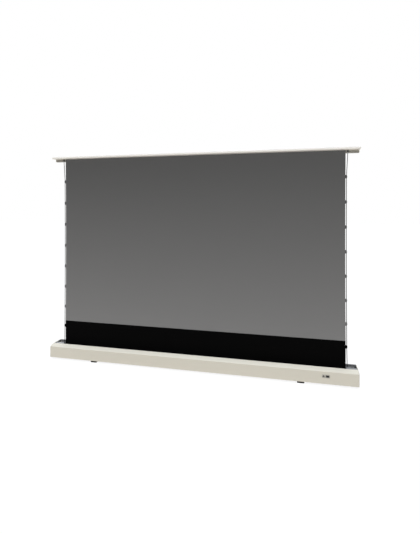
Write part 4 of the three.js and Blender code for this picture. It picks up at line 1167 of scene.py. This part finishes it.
class ClothOperator(bpy.types.Operator):
    """Grey surface and black leader, each one cloth from edge to edge"""

    bl_idname = "projection.cloth"
    bl_label = "Cloth"

    def execute(self, context):
        sizes = context.scene.projection_sizes
        grey, black = grey_cloth_painted_light("grey projection cloth", 0.0, CLOTH_HEIGHT), black_cloth()
        surface = {"height": CLOTH_HEIGHT + LAP, "foot": SEAM_Z - LAP, "draw_in": sizes.draw_in, "rows": 72}
        leader = {"height": LEADER[1].z - LEADER[0].z, "foot": LEADER[0].z, "draw_in": 0.0, "rows": 16}
        for name, node, finish, values in (
            ("grey_surface", "screen_surface", grey, surface),
            ("leader_drop", "black_leader", black, leader),
        ):
            values |= {"width": CLOTH_WIDTH, "plane": CLOTH_Y, "columns": 60}
            piece = hanging_cloth().grown(name, material=finish, **values)
            wall = piece.modifiers.new("thickness", "SOLIDIFY")
            wall.thickness = sizes.cloth
            wall.offset = 0
            folded(put(settled(piece), finish, node))
        half, rise, y = CLOTH_WIDTH / 2 - CLEAR, sizes.seam_tape / 2, CLOTH[0].y
        tape = prism("seam_tape", rectangle(-half, half, y - 0.0003, y), SEAM_Z - rise, SEAM_Z + rise, "z")
        folded(put(mapped(tape), black, "black_leader"))
        return {"FINISHED"}


def folded(piece):
    """Gives the piece a mesh of its own."""
    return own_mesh(piece)


def edge_at(height, sizes):
    """Half the cloth's width at a height."""
    part = min(abs(height - SEAM_Z - CLOTH_HEIGHT / 2) / (CLOTH_HEIGHT / 2), 1)
    return CLOTH_WIDTH / 2 - sizes.draw_in * (1 - part * part)


def tab_heights():
    """The grey tabs' heights, from the top down, and the black tab's. The frame's cloths end short of the seam
    and of the bar, and the shares count from the real edges."""
    seam, surface = SEAM_Z - CLEAR / 2, CLOTH_HEIGHT + 1.5 * CLEAR
    leader = LEADER[1].z - CASE[1].z + CLEAR / 2
    return [seam + part * surface for part in TAB_SHARES], seam - LEADER_TAB_SHARE * leader


class TabsOperator(bpy.types.Operator):
    """Welded edge bands and the half-round tabs with their sleeves"""

    bl_idname = "projection.tabs"
    bl_label = "Tabs"

    def execute(self, context):
        sizes = context.scene.projection_sizes
        # The tabs wear the cloth's painted light and shade, graded from below the seam up to the lid
        grey, black = grey_cloth_painted_light("grey tab cloth", -0.2, CLOTH_HEIGHT), black_cloth()
        heights, leader_height = tab_heights()
        on_surface, on_leader = [], [bpy.data.objects["seam_tape"]]
        for name, side in SIDES:
            points = [(side * edge_at(z, sizes), 0, z) for z in heights]
            shape = self.tab(side, sizes)
            row = copies_on_points().grown(name + "_tabs", points, shape=shape, material=grey)
            bpy.data.objects.remove(shape)
            for piece in (row, self.band(name, side, sizes)):
                mapped(piece, (0, 0, SEAM_Z))
                put(shaded(piece, 40), grey, name + "_tab_strip")
                on_surface.append(folded(piece))
            single = self.single(name, side, leader_height, sizes)
            put(shaded(mapped(single), 40), black, name + "_leader_tab")
            on_leader.append(folded(single))
        leader_size = (LEADER[1].x - LEADER[0].x, LEADER[1].z - LEADER[0].z)
        for cloth, size, rests, welded_on in (
            ("grey_surface", (CLOTH_WIDTH, CLOTH_HEIGHT), ["lid_bar"], on_surface),
            ("leader_drop", leader_size, ["roller_tube"], on_leader),
        ):
            cloth = bpy.data.objects[cloth]
        return {"FINISHED"}

    def tab(self, side, sizes):
        """A tab whose flat starts on the cloth's edge at x = 0, with a rolled sleeve round the cord's path."""
        radius, inset = sizes.tab_radius, -side * 0.0008
        line = [(side * u, v) for u, v in arc(0, 0, radius, -math.pi / 2, math.pi, 32)]
        flat = prism("flat", [*line, (inset, radius), (inset, -radius)], BAND_Y, BAND_Y + BAND, "y")
        centre, reach = (side * sizes.cord_offset, CLOTH_Y, 0), radius * 0.75
        inner, outer = sizes.cord_radius + CLEAR, sizes.cord_radius + 0.0013
        profile = [(inner, -reach), (outer - 0.0003, -reach), (outer, -reach + 0.0004)]
        sleeve = turned("sleeve", mirrored(profile), centre, "z", 24, ring=True)
        bore = turned("bore", mirrored([(0, -0.02), (inner, -0.02)]), centre, "z", 24)
        return gathered("tab", carved(flat, bore), sleeve)

    def single(self, name, side, height, sizes):
        """The leader's tab, with a seat that holds it to the cloth."""
        x = side * edge_at(height, sizes)
        tab = self.tab(side, sizes)
        tab.data.transform(Matrix.Translation((x, 0, height)))
        x0, x1 = sorted((x, x - side * 0.01))
        z0, z1 = height - sizes.tab_radius, height + sizes.tab_radius
        seat = prism("seat", rectangle(x0, x1, z0, z1, 0.0004, 3), BAND_Y, BAND_Y + BAND, "y")
        return gathered(name + "_black_tab", tab, seat)

    def band(self, name, side, sizes):
        """The welded band behind the cloth's edge, which follows the edge's line."""
        low, high = SEAM_Z + CLEAR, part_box("lid_bar")[0].z - CLEAR
        width, steps = 0.014, 40
        heights = [low + (high - low) * k / steps for k in range(steps + 1)]
        outer = [(side * edge_at(z, sizes), z) for z in heights]
        inner = [(side * (edge_at(z, sizes) - width), z) for z in reversed(heights)]
        return prism(name + "_edge_band", outer + inner, BAND_Y, BAND_Y + BAND, "y")


class CordsOperator(bpy.types.Operator):
    """Braided tension cords from the spools, through the tabs, to the lid"""

    bl_idname = "projection.cords"
    bl_label = "Cords"

    def execute(self, context):
        sizes = context.scene.projection_sizes
        for name, side in SIDES:
            path = self.path(name, side, sizes)
            fine = [path[0]]
            for a, b in zip(path, path[1:]):
                count = max(2, round((b - a).length / 0.02))
                fine += [a.lerp(b, k / count) for k in range(1, count + 1)]
            cord = put(tube(name + "_cord", fine, sizes.cord_radius), braid(), name + "_tension_cord")
            folded(cord)
        return {"FINISHED"}

    def path(self, name, side, sizes):
        """The cord's bends, from where it leaves its spool, through each tab, to the anchor's foot."""
        heights, leader_height = tab_heights()
        spool_x, radius = middle_of(name + "_cord_spool").x, sizes.tab_radius
        path = [Vector((spool_x, ROLLER_AXIS.y + wound_reach(sizes), ROLLER_AXIS.z))]
        for z in (leader_height, *reversed(heights)):
            x = side * (edge_at(z, sizes) + sizes.cord_offset)
            path += [Vector((x, CLOTH_Y, z - radius)), Vector((x, CLOTH_Y, z + radius))]
        anchor = name + "_cord_anchor"
        return [*path, Vector((*middle_of(anchor).xy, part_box(anchor)[0].z - CLEAR))]


class LidOperator(bpy.types.Operator):
    """Lid plate, its bar with the cloth's keeper, and the end caps"""

    bl_idname = "projection.lid"
    bl_label = "Lid"

    def execute(self, context):
        sizes = context.scene.projection_sizes
        coat = powder_coat("lid powder coat", "lid")
        dressed("lid_plate", "lid_board", coat, 0.0002, 1, 50)
        # The bar's darker coat is partly painted shade, for the lid's shadow that the front lamp leaves off
        dressed("lid_bar", "hanging_bar", powder_coat("bar powder coat", "bar"), sizes.edge)
        dressed("hem_spline", "hem_keeper", dark_plastic(), 0.0002, 1, 50)
        for name, _ in SIDES:
            dressed(name + "_lid_cap", name + "_lid_end", moulding("lid end moulding", "lid"), 0.0006, 3, 50)
        return {"FINISHED"}


class LidFittingsOperator(bpy.types.Operator):
    """Cord anchors with their ferrules, and the lugs that the arms carry"""

    bl_idname = "projection.lid_fittings"
    bl_label = "Lid fittings"

    def execute(self, context):
        sizes = context.scene.projection_sizes
        for name, _ in SIDES:
            dressed(name + "_cord_anchor", name + "_anchor", dark_plastic(), 0.0012, 3)
            self.ferrule(name, sizes)
            dressed(name + "_lid_lug", name + "_lug", zinc_plate(), sizes.edge, 2, 50)
        return {"FINISHED"}

    def ferrule(self, name, sizes):
        """A crimped sleeve where the cord goes into its anchor."""
        node, half = name + "_cord_anchor", 0.0045
        centre = (*middle_of(node).xy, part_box(node)[0].z - half)
        inner, outer = sizes.cord_radius + 0.0002, sizes.cord_radius + 0.0011
        neck = outer - 0.0005
        profile = [(inner, -half), (outer - 0.0003, -half), (outer, -0.004), (outer, -0.0014), (neck, -0.0009)]
        profile += [(neck, 0.0009), (outer, 0.0014), (outer, half), (inner, half)]
        put(turned(name + "_ferrule", profile, centre, "z", 32, ring=True), zinc_plate(), node)


class ArmsOperator(bpy.types.Operator):
    """The four brushed arms and the bases that they stand on"""

    bl_idname = "projection.arms"
    bl_label = "Arms"

    def execute(self, context):
        sizes = context.scene.projection_sizes
        top = PIVOT["lid_level"]
        for name, side in SIDES:
            base, elbow = PIVOT[name + "_lower_arm_swing"], PIVOT[name + "_elbow_fold"]
            head = Vector((side * abs(top.x), top.y, top.z))
            self.arm(name, "lower", base, elbow, sizes.arm_radius)
            self.arm(name, "upper", elbow, head, sizes.arm_radius, end_room=CLEAR if side > 0 else 0)
            dressed(name + "_arm_base", name + "_base_lug", zinc_plate(), sizes.edge, 2, 50)
        return {"FINISHED"}

    def arm(self, name, part, low, high, radius, end_room=0):
        """A channel with round ends, drawn from one pivot to the other."""
        node = f"{name}_{part}_arm"
        front, back = (corner.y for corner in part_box(node))
        wall, pin = 0.003, 0.0063
        start, end = low.xz, high.xz
        way, span = (end - start).normalized(), (end - start).length
        blank = prism(f"{name}_{part}_bar", self.stadium(start, way, 0, span, radius), front, back, "y")
        inner = self.stadium(start, way, 2 * radius, span - 2 * radius, radius - wall)
        pocket = prism("pocket", inner, front + wall, back + PAST, "y")
        holes = [hole(disc(*spot, size), front, back) for spot, size in ((start, pin), (end, pin + end_room))]
        softened(carved(blank, pocket, *holes), 0.0006, 2, 50)
        mapped(blank, (low.x, 0, low.z), (way.x, 0, way.y), (-way.y, 0, way.x))
        put(blank, drawn_arm(), node)

    def stadium(self, start, way, first, last, radius, steps=20):
        """A closed line round two points on the way from the start, half a circle about each."""
        turn = math.atan2(way.y, way.x)
        ends = ((start + way * last, turn - math.pi / 2), (start + way * first, turn + math.pi / 2))
        return [spot for middle, angle in ends for spot in arc(*middle, radius, angle, math.pi, steps)]


class ElbowsOperator(bpy.types.Operator):
    """Elbow pins, spiral springs and the drums that hold them"""

    bl_idname = "projection.elbows"
    bl_label = "Elbows"

    def execute(self, context):
        blued = brushed("blued spring", "spring", (200, 200, 200), 0.3)
        for name, _ in SIDES:
            elbow = PIVOT[name + "_elbow_fold"]
            self.pin(name, elbow)
            self.drum(name, elbow)
            self.spring(name, elbow, blued)
        return {"FINISHED"}

    def pin(self, name, elbow):
        node = name + "_elbow_pin"
        front, back = (corner.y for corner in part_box(node))
        head, pin, seat = 0.009, 0.006, front + 0.0024
        profile = [(0, front + 0.0012), (0.0032, front + 0.0012), (0.0034, front + 0.0002), (0.004, front)]
        profile += [(head - 0.0012, front), (head - 0.0003, front + 0.0005), (head, front + 0.0012), (head, seat)]
        profile += [(pin, seat), (pin, back - 0.0006), (pin - 0.0006, back), (0, back)]
        put(turned(name + "_pin", profile, (elbow.x, 0, elbow.z), "y", 48), zinc_plate(), node)

    def drum(self, name, elbow):
        node = name + "_spring_drum"
        front, back = (corner.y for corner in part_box(node))
        outer, wall = 0.024, 0.0012
        profile = [(0, back - wall), (outer - wall, back - wall), (outer - wall, front), (outer - 0.0003, front)]
        profile += [(outer, front + 0.0003), (outer, back - 0.0018), (outer - 0.0005, back - 0.0008)]
        profile += [(outer - 0.0016, back - 0.0003), (outer - 0.004, back - 0.0003), (outer - 0.005, back)]
        profile += [(0.0075, back), (0.0068, back - 0.0005), (0, back - 0.0005)]
        put(turned(name + "_drum", profile, (elbow.x, 0, elbow.z), "y", 96), dark_plastic(), node)
        head = screw_head("y", 1, 0.0022, 0.00005, 0.0006)
        spots = [(x, back, z) for x, z in disc(elbow.x, elbow.z, 0.0135, 3, math.pi / 2)]
        scattered(name + "_drum_screws", head, spots, zinc_plate(), node)

    def spring(self, name, elbow, finish):
        node = name + "_elbow_spring"
        low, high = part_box(node)
        values = {"turns": 3.5, "first": 0.0067, "last": 0.0221, "width": high.y - low.y, "thickness": 0.0008}
        strip = spiral_strip().grown(name + "_spring", material=finish, **values)
        upright = Matrix.Rotation(math.radians(90), 4, "X")
        strip.data.transform(Matrix.Translation((elbow.x, (low.y + high.y) / 2, elbow.z)) @ upright)
        put(shaded(strip, 40), finish, node)


class ControlsOperator(bpy.types.Operator):
    """Control window with its button, sensor lens and board"""

    bl_idname = "projection.controls"
    bl_label = "Controls"

    def execute(self, context):
        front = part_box("control_window")[0].y
        button, lens = middle_of("control_button").xz, middle_of("sensor_lens").xz
        half, rise = 0.0085, 0.0045
        dark = moulding("button moulding", "button", 1600.0, 0.4)
        self.plate(front, button, about(*lens, half + CLEAR, rise + CLEAR, 0.0014))
        proud, back = front - 0.0001, front + 0.0002
        ring = [(0.0041, back), (0.0044, proud), (0.0062, proud), (0.0065, back)]
        bezel = turned("button_bezel", ring, (button.x, 0, button.y), "y", 48, ring=True)
        put(bezel, dark, "control_window")
        self.lens_frame(lens, front, half + CLEAR, rise + CLEAR, dark)
        self.button(button, dark)
        self.lens(about(*lens, half, rise, 0.0012), front + 0.0015)
        self.board()
        return {"FINISHED"}

    def plate(self, front, button, lens_outline):
        """The window's face, with its two openings and the posts that hold the board."""
        low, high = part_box("control_window")
        back, half, inset = front + 0.0012, 0.0015, 0.0046
        plate = prism("window_plate", rectangle(low.x, high.x, low.z, high.z, 0.0022), front, back, "y")
        carved(plate, hole(disc(*button, 0.0039), front, back), hole(lens_outline, front, back))
        softened(plate, 0.00025, 2, 40)
        z = high.z - inset
        posts = [
            block("post", (x - half, back - CLEAR, z - half), (x + half, high.y, z + half))
            for x in (low.x + inset, high.x - inset)
        ]
        put(welded(plate, *posts), moulding("window moulding", "window", 1800.0, 0.38), "control_window")

    def lens_frame(self, middle, front, half, rise, finish):
        """Dark frame round the lens."""
        edge = 0.0026
        outer = about(*middle, half + edge, rise + edge, 0.0016)
        frame = prism("lens_frame", outer, front - 0.0001, front + 0.0002, "y")
        carved(frame, hole(about(*middle, half, rise, 0.0014), front, front))
        put(shaded(frame, 40), finish, "control_window")

    def button(self, middle, finish):
        """A dished cap with a collar behind the window, and the stem that works the switch."""
        front, back = (corner.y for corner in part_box("control_button"))
        cap, collar, stem = 0.0036, 0.0048, 0.002
        profile = [(0, front + 0.0005), (0.0018, front + 0.0003), (0.0028, front), (cap - 0.0003, front + 0.0001)]
        profile += [(cap, front + 0.0005), (cap, front + 0.0013), (collar, front + 0.0013), (collar, front + 0.0025)]
        profile += [(stem, front + 0.0025), (stem, back - 0.0003), (stem - 0.0003, back), (0, back)]
        put(turned("push_button", profile, (middle.x, 0, middle.y), "y", 48), finish, "control_button")

    def lens(self, outline, rim_front):
        low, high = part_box("sensor_lens")
        face = softened(prism("lens_face", outline, low.y, low.y + 0.0018, "y"), 0.0004, 3, 40)
        rim = block("rim", (low.x, rim_front, low.z), high, 0.0004)
        put(welded(face, rim), clear_dark(), "sensor_lens")

    def board(self):
        low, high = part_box("control_board")
        dressed("control_board", "circuit_plate", solder_resist(), 0.0002, 1)
        chip = block("chip", (-0.0022, -0.0012, -0.0016), (0.0022, 0, 0.0016), 0.0002)
        places = [(column, row) for row in range(3) for column in range(6) if (row + column) % 2]
        spots = [(low.x + 0.008 + 0.0088 * u, high.y + 0.0012, low.z + 0.008 + 0.009 * v) for u, v in places]
        scattered("board_chips", chip, spots, dark_plastic(), "control_board")


class PowerOperator(bpy.types.Operator):
    """Power supply in its vented case, and the mains inlet with its blades"""

    bl_idname = "projection.power"
    bl_label = "Power"

    def execute(self, context):
        satin = brushed("supply case", "motor", (60, 500, 500), 0.35)
        dressed("power_supply", "supply_case", satin, 0.0012, 3)
        vent = block("vent", (-0.0012, -0.011, -0.0004), (0.0012, 0.011, 0.0002), 0.0002)
        middle, step = (*middle_of("power_supply").xy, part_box("power_supply")[1].z), (0.006, 0, 0)
        in_row("supply_vents", vent, 13, middle, step, dark_plastic(), "power_supply")
        self.inlet()
        return {"FINISHED"}

    def inlet(self):
        """A socket with two corners cut off, and three blades on its floor."""
        low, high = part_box("mains_inlet")
        x, z = middle_of("mains_inlet").xz
        half, rise, corner = 0.012, 0.008, 0.004
        floor, pitch = high.y - 0.017, 0.007
        spots = [(-half, -rise), (half, -rise), (half, rise - corner), (half - corner, rise), (corner - half, rise)]
        spots.append((-half, rise - corner))
        outline = rounded([(x + u, z + v, 0.001) for u, v in spots], 4)
        body = carved(block("inlet_body", low, high, 0.0008), prism("socket", outline, floor, high.y + PAST, "y"))
        put(shaded(body, 40), dark_plastic(), "mains_inlet")
        blade = block("blade", (-0.001, floor - 0.0005, -0.002), (0.001, floor + 0.008, 0.002), 0.0004)
        in_row("inlet_blades", blade, 3, (x, 0, z), (pitch, 0, 0), zinc_plate(), "mains_inlet")


OPERATORS = (
    CaseCoversOperator,
    CaseEndsOperator,
    BaseOperator,
    OpeningOperator,
    RollerOperator,
    ClothOperator,
    TabsOperator,
    CordsOperator,
    LidOperator,
    LidFittingsOperator,
    ArmsOperator,
    ElbowsOperator,
    ControlsOperator,
    PowerOperator,
    ProjectionStageOperator,
)


class ProjectionPanel(bpy.types.Panel):
    """Lists the screen's pieces in the sidebar"""

    bl_idname = "VIEW3D_PT_projection"
    bl_label = "Projection screen"
    bl_space_type = "VIEW_3D"
    bl_region_type = "UI"
    bl_category = "Projection"

    def draw(self, context):
        for operator in OPERATORS:
            self.layout.operator(operator.bl_idname)
        for name, kind in GROUPS.items():
            box = self.layout.box()
            for label in kind.__annotations__:
                box.prop(getattr(context.scene, name), label)


GROUPS = {
    "projection_sizes": ProjectionSizes,
    "projection_colours": ProjectionColours,
    "projection_stage": ProjectionStage,
}

CLASSES = (*GROUPS.values(), *OPERATORS, ProjectionPanel)


def register():
    for kind in CLASSES:
        bpy.utils.register_class(kind)
    for name, group in GROUPS.items():
        setattr(bpy.types.Scene, name, bpy.props.PointerProperty(type=group))


def unregister():
    for name in GROUPS:
        delattr(bpy.types.Scene, name)
    for kind in reversed(CLASSES):
        bpy.utils.unregister_class(kind)


def main():
    register()
    for operator in OPERATORS:
        group, name = operator.bl_idname.split(".")
        getattr(getattr(bpy.ops, group), name)()


if __name__ == "__main__":
    main()
